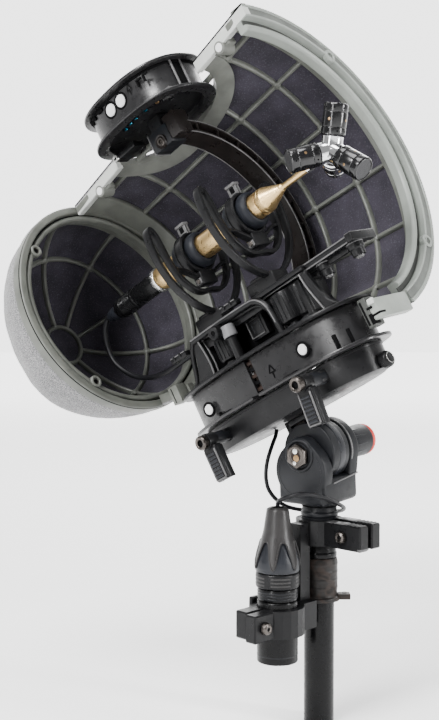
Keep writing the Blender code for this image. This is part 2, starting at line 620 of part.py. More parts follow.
# ---- swivel --------------------------------------------------------------------------------------
def swivel():
    """Along the tilt axis (the swivel frame's X): bolt head, near cheek, drum, far cheek, knob."""
    base = rod("swivel_base", 0.0160, 0.0080, (-0.0145, 0, -0.0090), "grey_plastic", SWIVEL,
               TURN_X, 28)
    boss = rod("cheek_boss", 0.0095, 0.0080, (-0.0145, 0, 0), None, SWIVEL, TURN_X, 24)
    far = rod("far_cheek", 0.0165, 0.0082, (0.0094, 0, 0), None, SWIVEL, TURN_X, 28)
    block = box("base_block", (-0.0185, -0.0150, -0.0265), (0.0135, 0.0150, -0.0060), None, SWIVEL,
                bevel=0.0030)
    neck = rod("neck", 0.00925, 0.0320, (0, 0, 0.1056), None, STAND, (0, 0, 0), 28)
    room = rod("drum_room", 0.0166, 0.0156, (-0.0026, 0, 0), None, SWIVEL, TURN_X, 28)
    bore = rod("bolt_bore", 0.0034, 0.06, (0, 0, 0), None, SWIVEL, TURN_X, 20)
    socket = rod("stud_socket", 0.0052, 0.0140, (0, 0, 0.0950), None, STAND, (0, 0, 0), 20)
    join(base, boss, far, block, neck)
    cut(base, room, bore, socket)

    drum = rod("swivel_head", 0.0162, 0.0148, (-0.0026, 0, 0), "grey_plastic", SWIVEL, TURN_X, 28)
    stem_top = CAP_Z + POD_OFFSET.z - GAP
    stem = box("head_stem", (-0.0095, -0.0068, 0.0), (0.0095, 0.0068, stem_top), None, HEAD)
    # keep the stem clear of both cheeks
    trim = [box("stem_trim_near", (-0.0500, -0.05, -0.05), (-0.0100, 0.05, 0.0105), None, SWIVEL),
            box("stem_trim_far", (0.0048, -0.05, -0.05), (0.0500, 0.05, 0.0175), None, SWIVEL)]
    join(drum, stem)
    cut(drum, *trim)
    cut(drum, rod("drum_bore", 0.0034, 0.06, (0, 0, 0), None, SWIVEL, TURN_X, 20))

    bolt = rod("swivel_bolt", 0.0068, 0.0050, (-0.0213, 0, 0), "steel", SWIVEL,
               (0, pi / 2, 0), 6)
    join(bolt, rod("bolt_shank", 0.0030, 0.0500, (0.0035, 0, 0), None, SWIVEL, TURN_X, 20))
    turned("tilt_knob", [(0.0, 0.0418), (0.0074, 0.0418), (0.0080, 0.0400), (0.0076, 0.0260),
                         (0.0066, 0.0175), (0.0066, 0.0140), (0.0033, 0.0140), (0.0033, 0.0300),
                         (0.0, 0.0300)],
           "grey_plastic", SWIVEL, (0, 0, 0), TURN_X, 20)
    turned("knob_cap", [(0.0, 0.0445), (0.0052, 0.0440), (0.0070, 0.0421), (0.0, 0.0421)],
           "red_plastic", SWIVEL, (0, 0, 0), TURN_X, 20)


# ---- pole, clip and connector ----------------------------------------------------------------------
def pole():
    top, bore = POLE_TOP - 0.0060, POLE_R - 0.0015
    turned("pole_tube", [(0.0, 0.0030), (bore, 0.0030), (bore, top), (POLE_R, top), (POLE_R, 0.0),
                         (0.0, 0.0)], "black_metal", STAND, steps=24)
    ferrule = turned("pole_ferrule", [
        (0.0097, POLE_TOP), (0.0097, 0.0677), (0.0112, 0.0677), (0.0112, 0.0655),
        (POLE_R + GAP, 0.0655), (POLE_R + GAP, POLE_TOP)], "worn_metal", STAND, closed=True)
    join(ferrule, box("ferrule_tab", (0.0098, -0.0040, 0.0657), (0.0165, 0.0020, 0.0690), None,
                      STAND))
    turned("pole_stud", [(0.0, 0.1000), (0.0042, 0.1000), (0.0047, 0.0990), (0.0047, POLE_TOP - 0.0005),
                         (0.0062, POLE_TOP - 0.0005), (0.0062, POLE_TOP - 0.0090), (0.0, POLE_TOP - 0.0090)],
           "steel", STAND, (0, 0, 0), (0, 0, 0), 24)


def clip():
    """Clip frame: +X towards the upper ears, +Y to the far jaw; the connector is at -Y."""
    low, high = CLIP_Z
    out = CONNECTOR_OUT
    c_low, c_high = LOWER_CLIP_Z
    bracket = ring("clip_bracket", 0.0095, 0.0126, low, high, "black_plastic", CLIP)
    ear = box("ear_near", (0.0090, -0.0078, low), (0.0335, -0.0008, high), None, CLIP, bevel=0.0007)
    web = box("web", (-0.0045, -0.0186, 0.0575), (0.0030, -0.0112, high - 0.0010), None, CLIP)
    cup = ring("cup_near", CONNECTOR_R + GAP, 0.0140, c_low, c_high, None, CLIP, (0, -out, 0))
    ear_low = box("ear_low_near", (0.0008, -out - 0.0250, c_low), (0.0078, -out - 0.0100, c_high),
                  None, CLIP, bevel=0.0007)
    bridge = box("bridge", (0.0008, -out + 0.0105, c_low), (0.0078, -0.0112, c_high), None, CLIP)
    cut(cup, box("cup_split", (-0.03, -0.09, 0.0), (0.0006, 0.0, 0.2), None, CLIP))
    join(bracket, ear, web, cup, ear_low, bridge)
    cut(bracket, box("ring_split", (-0.03, -0.0007, 0.09), (0.04, 0.03, 0.2), None, CLIP),
        rod("neck_room", 0.0095, 0.06, (0, 0, 0.1), None, CLIP, (0, 0, 0), 24),
        rod("tube_room", CONNECTOR_R + GAP, 0.1, (0, -out, 0.06), None, CLIP, (0, 0, 0), 24))
    upper = ring("clip_upper_jaw", 0.0095, 0.0126, low, high, "black_plastic", CLIP)
    ear_far = box("ear_far", (0.0090, 0.0008, low + 0.0008), (0.0345, 0.0078, high + 0.0008),
                  None, CLIP, bevel=0.0007)
    join(upper, ear_far)
    cut(upper, box("upper_split", (-0.03, -0.03, 0.09), (0.04, 0.0007, 0.2), None, CLIP),
        rod("upper_room", 0.0095, 0.06, (0, 0, 0.1), None, CLIP, (0, 0, 0), 24))
    lower = ring("clip_lower_jaw", CONNECTOR_R + GAP, 0.0140, c_low, c_high, "black_plastic",
                 CLIP, (0, -out, 0))
    ear_left = box("ear_low_far", (-0.0088, -out - 0.0220, c_low), (-0.0008, -out - 0.0100, c_high),
                   None, CLIP, bevel=0.0007)
    tab = box("lower_tab", (-0.0150, -out - 0.0060, c_high - 0.006),
              (-0.0120, -out + 0.0060, c_high + 0.0030), None, CLIP, bevel=0.0007)
    join(lower, ear_left, tab)
    cut(lower, box("lower_split", (-0.0006, -0.09, 0.0), (0.03, 0.0, 0.2), None, CLIP),
        rod("lower_room", CONNECTOR_R + GAP, 0.1, (0, -out, 0.06), None, CLIP, (0, 0, 0), 24))
    head = [(0.0, 0.0026), (0.0028, 0.0026), (0.0032, 0.0), (0.0, 0.0)]
    turned("clip_screw_upper", head, "steel", CLIP, (0.0215, -0.0081, (low + high) / 2),
           (pi / 2, 0, 0), 16)
    turned("clip_screw_lower", head, "steel", CLIP, (0.0081, -out - 0.0180, (c_low + c_high) / 2),
           (0, pi / 2, 0), 16)


def connector():
    turned("cable_boot", [(0.0, 0.1186), (0.0052, 0.1186), (0.0058, 0.1180), (0.0072, 0.1060),
                          (0.0100, 0.0960), (0.0114, 0.0890), (0.0114, 0.0860), (0.0, 0.0860)],
           "grey_plastic", CONNECTOR)
    turned("coupling_ring", [(0.0113, 0.0857), (0.0113, 0.0780), (0.0078, 0.0780), (0.0078, 0.0857)],
           "grey_plastic", CONNECTOR, closed=True)
    turned("connector_core", [(0.0, 0.0857), (0.0075, 0.0857), (0.0075, 0.0777), (0.0104, 0.0777),
                              (0.0104, 0.0716), (0.0087, 0.0716), (0.0087, 0.0560), (0.0, 0.0560)],
           "black_plastic", CONNECTOR)
    ring("connector_shell", 0.0090, CONNECTOR_R, 0.0395, 0.0713, "black_metal", CONNECTOR)


# ---- cable outside ---------------------------------------------------------------------------------
CABLE_KNOTS = (
    (-0.0219, 0.0171, 0.1541), (-0.0226, 0.0155, 0.1509), (-0.0245, 0.0130, 0.1463),
    (-0.0269, 0.0095, 0.1396), (-0.0281, 0.0065, 0.1336), (-0.0280, 0.0050, 0.1278),
    (-0.0263, 0.0055, 0.1224), (-0.0215, 0.0090, 0.1164), (-0.0138, 0.0125, 0.1120),
    (0.0016, 0.0145, 0.1095), (0.0110, 0.0110, 0.1106), (0.0126, -0.0040, 0.1148),
    (0.0070, -0.0180, 0.1198), (-0.0021, -0.0275, 0.1245), (-0.0111, -0.0320, 0.1267),
    (-0.0176, -0.0320, 0.1254), (-0.0218, -0.0280, 0.1233), (-0.0232, -0.0243, 0.1212),
    (-0.0234, -0.0234, 0.1191))


def cable():
    tube("outer_cable", smooth_path(CABLE_KNOTS, 3), 0.0011, "rubber", STAND)


basket()
top_hub()
base_hub()
levers()
arm()
suspension()
microphone()
swivel()
pole()
clip()
connector()
cable()
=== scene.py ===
"""The looks of the condenser microphone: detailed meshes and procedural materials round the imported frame.

Lengths are millimetres in each piece's own frame, and one matrix per frame turns them into metres.
The pod's frame has X along the microphone, Y to the far side and Z from the base hub to the top hub."""

from math import atan2, cos, exp, hypot, pi, radians, sin, sqrt

import bmesh
import bpy
from mathutils import Euler, Matrix, Vector, noise


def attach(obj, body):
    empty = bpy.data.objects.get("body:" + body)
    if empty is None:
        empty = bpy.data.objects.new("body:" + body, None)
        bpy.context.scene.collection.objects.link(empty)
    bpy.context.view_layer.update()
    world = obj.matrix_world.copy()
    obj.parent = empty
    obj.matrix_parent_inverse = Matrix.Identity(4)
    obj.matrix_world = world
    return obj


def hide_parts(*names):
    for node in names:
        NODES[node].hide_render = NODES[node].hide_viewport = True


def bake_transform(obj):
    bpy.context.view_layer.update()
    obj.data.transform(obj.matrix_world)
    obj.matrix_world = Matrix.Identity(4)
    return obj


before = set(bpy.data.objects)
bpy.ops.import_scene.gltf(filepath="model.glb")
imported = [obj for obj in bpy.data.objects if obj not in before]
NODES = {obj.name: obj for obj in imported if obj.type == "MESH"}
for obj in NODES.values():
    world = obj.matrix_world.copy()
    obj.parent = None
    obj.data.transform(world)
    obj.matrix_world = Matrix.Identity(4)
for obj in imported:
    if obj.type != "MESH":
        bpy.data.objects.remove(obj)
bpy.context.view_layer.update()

# ---- frames -------------------------------------------------------------------------------------
MM = Matrix.Scale(0.001, 4)
TILT_Z = 145
TILT_HEADING = radians(50)
TILT_RISE = radians(3.5)
POD_ROTATION = Euler((radians(8.4), radians(-25.9), radians(-44.8)))
POD_OFFSET = Vector((-7.9, -0.3, 133.6))

WORLD = MM
HEAD = MM @ Matrix.Translation((0, 0, TILT_Z)) @ POD_ROTATION.to_matrix().to_4x4()
POD = HEAD @ Matrix.Translation(POD_OFFSET)
SWIVEL = (MM @ Matrix.Translation((0, 0, TILT_Z))
          @ Euler((0, -TILT_RISE, TILT_HEADING)).to_matrix().to_4x4())
CLIP = MM @ Matrix.Rotation(radians(-45), 4, "Z")
CONNECTOR_OUT = 33.1
CONNECTOR = CLIP @ Matrix.Translation((0, -CONNECTOR_OUT, 0))

ALONG_X = Matrix(((0, 0, 1, 0), (0, 1, 0, 0), (-1, 0, 0, 0), (0, 0, 0, 1)))   # Z becomes X
ALONG_Y = Matrix(((1, 0, 0, 0), (0, 0, 1, 0), (0, -1, 0, 0), (0, 0, 0, 1)))   # Z becomes Y
UPRIGHT = Matrix(((1, 0, 0, 0), (0, 0, 1, 0), (0, 1, 0, 0), (0, 0, 0, 1)))    # Y and Z change places
BACK_ALONG_X = Matrix(((0, 0, -1, 0), (0, 1, 0, 0), (-1, 0, 0, 0), (0, 0, 0, 1)))   # Z becomes -X


def at(x=0.0, y=0.0, z=0.0, turn=None):
    """A place in the current frame, with a turn given as a matrix."""
    moved = Matrix.Translation((x, y, z))
    return moved if turn is None else moved @ turn


def spin(degrees, axis):
    return Matrix.Rotation(radians(degrees), 4, axis)


# ---- camera, floor and light --------------------------------------------------------------------
def camera():
    data = bpy.data.cameras.new("camera")
    data.lens = 56.8
    data.sensor_width = 36.0
    made = bpy.data.objects.new("camera", data)
    made.location = (-0.0531, -0.600, 0.2166)
    made.rotation_euler = (pi / 2 - 0.0396, 0, 0)
    bpy.context.scene.collection.objects.link(made)
    bpy.context.scene.camera = made


def area_light(name, place, target, size, power):
    data = bpy.data.lights.new(name, "AREA")
    data.shape = "RECTANGLE"
    data.size, data.size_y = size
    data.energy = power
    made = bpy.data.objects.new(name, data)
    made.location = place
    made.rotation_euler = (Vector(target) - Vector(place)).to_track_quat("-Z", "Y").to_euler()
    bpy.context.scene.collection.objects.link(made)


def remap(tree, value, low, high, to_low, to_high):
    """A value that runs from to_low to to_high while another runs from low to high."""
    node = tree.nodes.new("ShaderNodeMapRange")
    for socket, number in zip(("From Min", "From Max", "To Min", "To Max"),
                              (low, high, to_low, to_high)):
        node.inputs[socket].default_value = number
    tree.links.new(value, node.inputs["Value"])
    return node.outputs["Result"]


def far_back(tree, coordinate):
    """How far back a point or a direction is: the Y of a texture coordinate."""
    place = tree.nodes.new("ShaderNodeTexCoord")
    parts = tree.nodes.new("ShaderNodeSeparateXYZ")
    tree.links.new(place.outputs[coordinate], parts.inputs["Vector"])
    return parts.outputs["Y"]


def surroundings():
    """A white wall behind and a dimmer room in front."""
    world = bpy.data.worlds.new("studio")
    world.use_nodes = True
    tree = world.node_tree
    sky = tree.nodes["Background"]
    tree.links.new(remap(tree, far_back(tree, "Generated"), 0.1, 0.85, 0.42, 3.4), sky.inputs["Strength"])
    sky.inputs["Color"].default_value = (1.0, 1.0, 1.0, 1.0)
    bpy.context.scene.world = world


def lamps():
    """Soft lights that draw the edges, and a wide even one from above."""
    middle = (-0.02, 0.02, 0.2)
    area_light("key", (-0.75, -0.75, 0.95), middle, (0.35, 0.35), 26)
    area_light("side", (0.95, -0.45, 0.45), middle, (0.14, 0.7), 14)
    area_light("low", (-0.6, -0.85, 0.25), middle, (0.12, 0.5), 3.5)
    area_light("back", (0.1, 0.9, 0.9), middle, (0.7, 0.3), 9)
    data = bpy.data.lights.new("ceiling", "SUN")
    data.energy = 3.2
    data.angle = radians(35)
    ceiling = bpy.data.objects.new("ceiling", data)
    ceiling.rotation_euler = (radians(14), radians(-10), 0)
    bpy.context.scene.collection.objects.link(ceiling)


def pale_floor():
    """A pale floor that brightens towards the back, so that it runs into the wall."""
    half = 6.0
    mesh = bpy.data.meshes.new("floor")
    mesh.from_pydata([(-half, -half, 0), (half, -half, 0), (half, half, 0), (-half, half, 0)], [],
                     [(0, 1, 2, 3)])
    made = bpy.data.objects.new("floor", mesh)
    bpy.context.scene.collection.objects.link(made)
    paint = bpy.data.materials.new("floor")
    paint.use_nodes = True
    tree = paint.node_tree
    shader = tree.nodes["Principled BSDF"]
    shader.inputs["Base Color"].default_value = (0.90, 0.90, 0.90, 1.0)
    shader.inputs["Roughness"].default_value = 0.9
    shader.inputs["Emission Color"].default_value = (1.0, 1.0, 1.0, 1.0)
    tree.links.new(remap(tree, far_back(tree, "Object"), 0.3, 2.4, 0.0, 1.9),
                   shader.inputs["Emission Strength"])
    mesh.materials.append(paint)


# ---- materials ----------------------------------------------------------------------------------
class Surface:
    """A procedural material: patchy colour, fine grain in the roughness and a bumpy normal."""

    def __init__(self, name, rough, metal=0.0, **constants):
        self.material = bpy.data.materials.new(name)
        self.material.use_nodes = True
        self.tree = self.material.node_tree
        self.shader = self.tree.nodes["Principled BSDF"]
        self.shader.inputs["Metallic"].default_value = metal
        self.shader.inputs["Roughness"].default_value = rough
        self.shader.inputs["Specular IOR Level"].default_value = 0.5 if metal else 0.36
        for socket, value in constants.items():
            self.shader.inputs[socket.replace("_", " ")].default_value = value
        self.place = self.tree.nodes.new("ShaderNodeTexCoord").outputs["Object"]

    def link(self, output, node, socket):
        self.tree.links.new(output, node.inputs[socket])

    def mapping(self, scale):
        node = self.tree.nodes.new("ShaderNodeMapping")
        node.inputs["Scale"].default_value = scale
        self.link(self.place, node, "Vector")
        return node.outputs["Vector"]

    def grain(self, scale, detail=3.0, stretch=None, distortion=0.0):
        """Noise with features of about 1/scale metres; stretch draws it out along an axis."""
        node = self.tree.nodes.new("ShaderNodeTexNoise")
        node.inputs["Scale"].default_value = scale
        node.inputs["Detail"].default_value = detail
        node.inputs["Distortion"].default_value = distortion
        self.link(self.mapping(stretch) if stretch else self.place, node, "Vector")
        return node.outputs["Fac"]

    def cells(self, scale, feature="F1"):
        node = self.tree.nodes.new("ShaderNodeTexVoronoi")
        node.inputs["Scale"].default_value = scale
        node.feature = feature
        self.link(self.place, node, "Vector")
        return node.outputs["Distance"]

    def spread(self, value, low, high, to_low, to_high):
        return remap(self.tree, value, low, high, to_low, to_high)

    def ramp(self, value, *stops):
        """Colours along a value; each stop is (position, colour)."""
        node = self.tree.nodes.new("ShaderNodeValToRGB")
        steps = node.color_ramp.elements
        while len(steps) < len(stops):
            steps.new(0.5)
        for step, (position, colour) in zip(steps, stops):
            step.position = position
            step.color = (*colour, 1.0)
        self.link(value, node, "Fac")
        return node.outputs["Color"]

    def mix(self, amount, first, second, blend="MIX"):
        node = self.tree.nodes.new("ShaderNodeMix")
        node.data_type = "RGBA"
        node.blend_type = blend
        for value, socket in ((amount, 0), (first, 6), (second, 7)):
            if isinstance(value, (int, float)):
                node.inputs[socket].default_value = value
            elif isinstance(value, tuple):
                node.inputs[socket].default_value = (*value, 1.0)
            else:
                self.tree.links.new(value, node.inputs[socket])
        return node.outputs[2]

    def colour(self, output):
        self.link(output, self.shader, "Base Color")
        return self

    def roughness(self, output):
        self.link(output, self.shader, "Roughness")
        return self

    def bump(self, *layers):
        """Each layer is (height, distance in metres)."""
        normal = None
        for height, distance in layers:
            node = self.tree.nodes.new("ShaderNodeBump")
            node.inputs["Distance"].default_value = distance
            node.inputs["Strength"].default_value = 1.0
            self.link(height, node, "Height")
            if normal is not None:
                self.link(normal, node, "Normal")
            normal = node.outputs["Normal"]
        self.link(normal, self.shader, "Normal")
        return self


def shade(colour, factor):
    return tuple(min(1.0, channel * factor) for channel in colour)


def moulded(name, colour, rough, texture=0.00004, patch=0.22, **constants):
    """Moulded plastic or rubber: a fine spark-eroded grain, and gloss that varies a little."""
    made = Surface(name, rough, **constants)
    made.colour(made.ramp(made.grain(90, 4), (0.3, shade(colour, 1 - patch)),
                          (0.7, shade(colour, 1 + patch))))
    made.roughness(made.spread(made.grain(260, 4), 0.3, 0.7, rough - 0.07, rough + 0.09))
    made.bump((made.grain(2600, 2), texture), (made.grain(45, 2), 0.00010))
    return made.material


def metal(name, colour, rough, stretch=None, marks=0.15, **constants):
    """Turned or brushed metal: fine lines along one way, and faint stains."""
    made = Surface(name, rough, 1.0, **constants)
    made.colour(made.ramp(made.grain(120, 5), (0.32, shade(colour, 1 - marks)),
                          (0.68, shade(colour, 1 + marks / 2))))
    lines = made.grain(1500, 3, stretch)
    made.roughness(made.spread(lines, 0.3, 0.7, rough * 0.75, rough * 1.35))
    made.bump((lines, 0.000012))
    return made.material


def worn_metal(name, colour, rust, rough):
    """Dark metal with brown patches where its finish has gone."""
    made = Surface(name, rough, 0.0, Specular_IOR_Level=0.2)
    patches = made.grain(160, 6, distortion=0.6)
    made.colour(made.ramp(patches, (0.42, colour), (0.56, rust), (0.72, shade(colour, 0.6))))
    made.roughness(made.spread(patches, 0.35, 0.65, rough - 0.12, rough + 0.2))
    made.bump((made.grain(900, 4), 0.00008))
    return made.material


def outer_cloth():
    """The windshield's skin: a short pale pile, mottled, with darker flecks between the fibres."""
    made = Surface("cloth_outer", 0.95, Sheen_Weight=0.25, Sheen_Roughness=0.5)
    fibres = made.grain(1900, 6, distortion=0.8)
    patches = made.grain(55, 4)
    pile = made.ramp(fibres, (0.38, (0.035, 0.035, 0.038)), (0.50, (0.145, 0.143, 0.146)),
                     (0.62, (0.30, 0.30, 0.30)))
    made.colour(made.mix(0.55, pile, made.ramp(patches, (0.35, (0.72, 0.72, 0.74)),
                                               (0.68, (0.98, 0.98, 0.97))), "MULTIPLY"))
    made.bump((fibres, 0.00022), (made.grain(240, 3), 0.00045))
    return made.material


def inner_cloth():
    """The same skin from inside: a fine dark knit with a faint violet cast and pale flecks."""
    made = Surface("cloth_inner", 0.9, Sheen_Weight=0.06)
    knit = made.cells(1500)
    flecks = made.grain(1300, 4)
    dark = made.ramp(made.grain(70, 3), (0.35, (0.014, 0.012, 0.018)), (0.7, (0.030, 0.026, 0.038)))
    lit = made.mix(made.spread(flecks, 0.56, 0.74, 0.0, 0.55), dark, (0.095, 0.090, 0.115))
    made.colour(lit)
    made.bump((knit, 0.00012), (flecks, 0.00010))
    return made.material


def perforated(name, colour):
    """A capsule's end: a close field of pin holes in black metal."""
    made = Surface(name, 0.4, 0.6)
    holes = made.cells(1500)
    made.colour(made.ramp(holes, (0.18, (0.001, 0.001, 0.001)), (0.32, colour)))
    made.bump((made.spread(holes, 0.18, 0.34, 0.0, 1.0), 0.00015))
    return made.material


def dark(name, colour, rough, shine=0.15, **constants):
    """Black plastic: the dark core of its reflections keeps its edges and highlights crisp."""
    return moulded(name, colour, rough, Specular_IOR_Level=shine, **constants)


LOOKS = {
    "black_plastic": dark("black_plastic", (0.0058, 0.0058, 0.0063), 0.32),
    "wall_plastic": dark("wall_plastic", (0.0088, 0.0086, 0.0092), 0.30, 0.36, texture=0.000008),
    # dull near-black: painted shade in sockets, slots, grooves, holes and gaps, and some thin dark lines
    "painted_shade_black": dark("painted_shade_black", (0.0022, 0.0022, 0.0025), 0.7, 0.05),
    "brown_dark": dark("brown_dark", (0.014, 0.008, 0.006), 0.50, patch=0.5),
    "rubber": dark("rubber", (0.0085, 0.0095, 0.0125), 0.46, texture=0.00006),
    "cable": dark("cable", (0.006, 0.006, 0.007), 0.40),
    "olive_plastic": moulded("olive_plastic", (0.090, 0.094, 0.083), 0.40),
    "collar_plastic": moulded("collar_plastic", (0.110, 0.114, 0.103), 0.40),
    "pale_plastic": moulded("pale_plastic", (0.195, 0.210, 0.192), 0.36, patch=0.08),
    "rim_shade": moulded("rim_shade", (0.092, 0.099, 0.090), 0.40),
    "white_plastic": moulded("white_plastic", (0.42, 0.43, 0.41), 0.35, patch=0.05),
    "shadow_plastic": moulded("shadow_plastic", (0.034, 0.036, 0.033), 0.5),
    "grey_plastic": dark("grey_plastic", (0.0072, 0.0077, 0.0092), 0.38, 0.18, texture=0.00005),
    # mid grey: a few real grey parts, and thin rods and strips along edges as painted highlight lines
    "grey_and_painted_highlight": moulded("grey_and_painted_highlight", (0.075, 0.074, 0.075), 0.33),
    # painted highlight on the rim of a post's cap
    "painted_highlight_edge": moulded("painted_highlight_edge", (0.13, 0.13, 0.135), 0.30),
    "boot_plastic": dark("boot_plastic", (0.019, 0.018, 0.018), 0.33, 0.25),
    "slate_plastic": dark("slate_plastic", (0.0105, 0.0115, 0.0145), 0.33, 0.25),
    "red_plastic": moulded("red_plastic", (0.62, 0.035, 0.025), 0.40, patch=0.1),
    "magnet": moulded("magnet", (0.62, 0.62, 0.62), 0.15, texture=0.00001, patch=0.04),
    "blue_stud": metal("blue_stud", (0.05, 0.40, 0.62), 0.2),
    "gold": metal("gold", (0.62, 0.43, 0.20), 0.33, (1.0, 1.0, 0.12), marks=0.05),
    "brass": metal("brass", (0.36, 0.23, 0.12), 0.35, marks=0.4),
    "chrome": metal("chrome", (0.80, 0.80, 0.81), 0.09, marks=0.05),
    "silver": metal("silver", (0.66, 0.66, 0.64), 0.26, marks=0.1),
    "steel": metal("steel", (0.085, 0.076, 0.070), 0.30, marks=0.5),
    "black_metal": dark("black_metal", (0.0032, 0.0032, 0.0035), 0.24, 0.14, texture=0.000012),
    "gloss_metal": dark("gloss_metal", (0.0035, 0.0035, 0.004), 0.16, 0.5, texture=0.000006),
    "arm_metal": dark("arm_metal", (0.0080, 0.0064, 0.0060), 0.32, 0.2, texture=0.00002),
    "worn_metal": worn_metal("worn_metal", (0.0075, 0.0065, 0.006), (0.018, 0.012, 0.0095), 0.45),
    "cloth_outer": outer_cloth(),
    "cloth_inner": inner_cloth(),
    "perforated": perforated("perforated", (0.03, 0.03, 0.032)),
}


# ---- shapes: each returns (points, faces) ---------------------------------------------------------
def loft(rings, ring_closed=True, cyclic=False, caps=True):
    """Faces between rings of equally many points."""
    count = len(rings[0])
    points = [p for ring in rings for p in ring]
    faces = []
    spans = len(rings) if cyclic else len(rings) - 1
    around = count if ring_closed else count - 1
    for i in range(spans):
        a, b = i * count, (i + 1) % len(rings) * count
        for k in range(around):
            n = (k + 1) % count
            faces.append((a + k, a + n, b + n, b + k))
    if caps and not cyclic:
        faces.append(tuple(reversed(range(count))))
        last = (len(rings) - 1) * count
        faces.append(tuple(range(last, last + count)))
    return points, faces


def rounded(outline, radius, closed=True, steps=3):
    """The outline with each corner turned into a small arc."""
    made = []
    count = len(outline)
    for i, corner in enumerate(outline):
        if not closed and i in (0, count - 1):
            made.append(tuple(corner))
            continue
        here = Vector(corner)
        before = Vector(outline[i - 1]) - here
        after = Vector(outline[(i + 1) % count]) - here
        reach = min(radius, before.length * 0.45, after.length * 0.45)
        start = here + before.normalized() * reach
        end = here + after.normalized() * reach
        for k in range(steps):
            t = k / (steps - 1)
            made.append(tuple(start * (1 - t) ** 2 + here * 2 * t * (1 - t) + end * t ** 2))
    return made


def lathe(profile, steps=48, start=0.0, sweep=360.0, closed=False):
    """A (radius, height) profile turned about Z; an arc runs from +X towards +Y, in degrees."""
    full = abs(sweep) >= 360
    count = steps if full else steps + 1
    rings = []
    for k in range(count):
        a = radians(start + sweep * k / steps)
        rings.append([(r * cos(a), r * sin(a), z) for r, z in profile])
    return loft(rings, closed, full, caps=not full)


def pod_arc(profile, low, high, steps=96):
    """A closed (radius, X) profile swept round the pod's axis, from the top towards the far side."""
    rings = []
    for k in range(steps + 1):
        a = radians(low + (high - low) * k / steps)
        rings.append([(x, r * sin(a), r * cos(a)) for r, x in profile])
    full = abs(high - low) >= 360
    return loft(rings[:-1] if full else rings, True, full)


def stack(layers):
    """Outlines of equally many points, one above the other, with both ends closed."""
    return loft([[(x, y, z) for x, y in outline] for outline, z in layers])


def block(low, high, edge=0.35, segments=2):
    """A box with rounded edges."""
    shape = bmesh.new()
    bmesh.ops.create_cube(shape, size=1.0)
    low, high = Vector(low), Vector(high)
    bmesh.ops.scale(shape, vec=high - low, verts=shape.verts)
    bmesh.ops.translate(shape, vec=(low + high) / 2, verts=shape.verts)
    if edge:
        bmesh.ops.bevel(shape, geom=list(shape.edges), offset=edge, segments=segments,
                        affect="EDGES", profile=0.5)
    shape.verts.index_update()
    made = ([tuple(v.co) for v in shape.verts], [[v.index for v in f.verts] for f in shape.faces])
    shape.free()
    return made


def prism(outline, low, high, edge=0.3, taper=(1.0, 1.0)):
    """An outline with height, its two rims rounded off."""
    inner = offset(outline, -edge)
    base = [(x * taper[0], y * taper[1]) for x, y in outline]
    base_inner = [(x * taper[0], y * taper[1]) for x, y in inner]
    softer = offset(outline, -0.3 * edge)
    return stack([(base_inner, low), (base, low + edge), (outline, high - edge),
                  (softer, high - 0.3 * edge), (inner, high)])


def offset(outline, distance):
    """A closed outline moved along its own normals."""
    count = len(outline)
    made = []
    area = sum(outline[i][0] * outline[(i + 1) % count][1]
               - outline[(i + 1) % count][0] * outline[i][1] for i in range(count))
    way = 1 if area > 0 else -1
    for i, (x, y) in enumerate(outline):
        (px, py), (nx, ny) = outline[i - 1], outline[(i + 1) % count]
        dx, dy = nx - px, ny - py
        length = hypot(dx, dy) or 1.0
        made.append((x + way * distance * dy / length, y - way * distance * dx / length))
    return made


def boat(half_length, half_width, power=2.5, count=112):
    """The hubs' rounded outline: a superellipse."""
    points = []
    for k in range(count):
        a = 2 * pi * k / count
        c, s = cos(a), sin(a)
        points.append((half_length * abs(c) ** (2 / power) * (1 if c >= 0 else -1),
                       half_width * abs(s) ** (2 / power) * (1 if s >= 0 else -1)))
    return points


def circle(radius, count=32, x=0.0, y=0.0):
    return [(x + radius * cos(2 * pi * k / count), y + radius * sin(2 * pi * k / count))
            for k in range(count)]


def band(outline, profile, cyclic=True):
    """A closed (outwards, Z) profile carried round an outline."""
    count = len(outline)
    rings = []
    for i, (x, y) in enumerate(outline):
        before = outline[i - 1] if cyclic or i else outline[i]
        after = outline[(i + 1) % count] if cyclic or i < count - 1 else outline[i]
        dx, dy = after[0] - before[0], after[1] - before[1]
        length = hypot(dx, dy) or 1.0
        nx, ny = dy / length, -dx / length
        rings.append([(x + nx * out, y + ny * out, z) for out, z in profile])
    return loft(rings, True, cyclic)


def sweep(path, section, ups=None, cyclic=False):
    """A closed (across, up) section carried along a path; ups gives the up direction at each point."""
    path = [Vector(p) for p in path]
    count = len(path)
    rings = []
    up = None
    for i, here in enumerate(path):
        before = path[i - 1] if cyclic or i else here
        after = path[(i + 1) % count] if cyclic or i < count - 1 else here
        ahead = (after - before).normalized()
        if ups is not None:
            up = Vector(ups[i])
        elif up is None:
            up = Vector((0, 0, 1)) if abs(ahead.z) < 0.9 else Vector((1, 0, 0))
        up = (up - ahead * up.dot(ahead)).normalized()
        side = ahead.cross(up)
        rings.append([tuple(here + side * a + up * b) for a, b in section])
    return loft(rings, True, cyclic)


def smooth_path(knots, per_span, closed=False):
    """Points along a smooth curve through the knots (Catmull-Rom)."""
    knots = [Vector(k) for k in knots]
    if closed:
        padded = [knots[-1], *knots, knots[0], knots[1]]
    else:
        padded = [2 * knots[0] - knots[1], *knots, 2 * knots[-1] - knots[-2]]
    path = []
    for i in range(1, len(padded) - 2):
        a, b, c, d = padded[i - 1:i + 3]
        for k in range(per_span):
            t = k / per_span
            path.append(0.5 * (2 * b + (c - a) * t + (2 * a - 5 * b + 4 * c - d) * t ** 2
                               + (3 * b - a - 3 * c + d) * t ** 3))
    return path if closed else [*path, knots[-1]]


def ball(radius, flat=1.0, steps=16):
    """A ball, flattened along Z."""
    profile = [(radius * cos(radians(t)), radius * flat * sin(radians(t)))
               for t in range(-90, 91, 15)]
    profile[0] = (0.001, -radius * flat)
    profile[-1] = (0.001, radius * flat)
    return lathe(profile, steps)


# ---- pieces -------------------------------------------------------------------------------------
WELD = 0.000002                    # metres; points nearer than this are one point


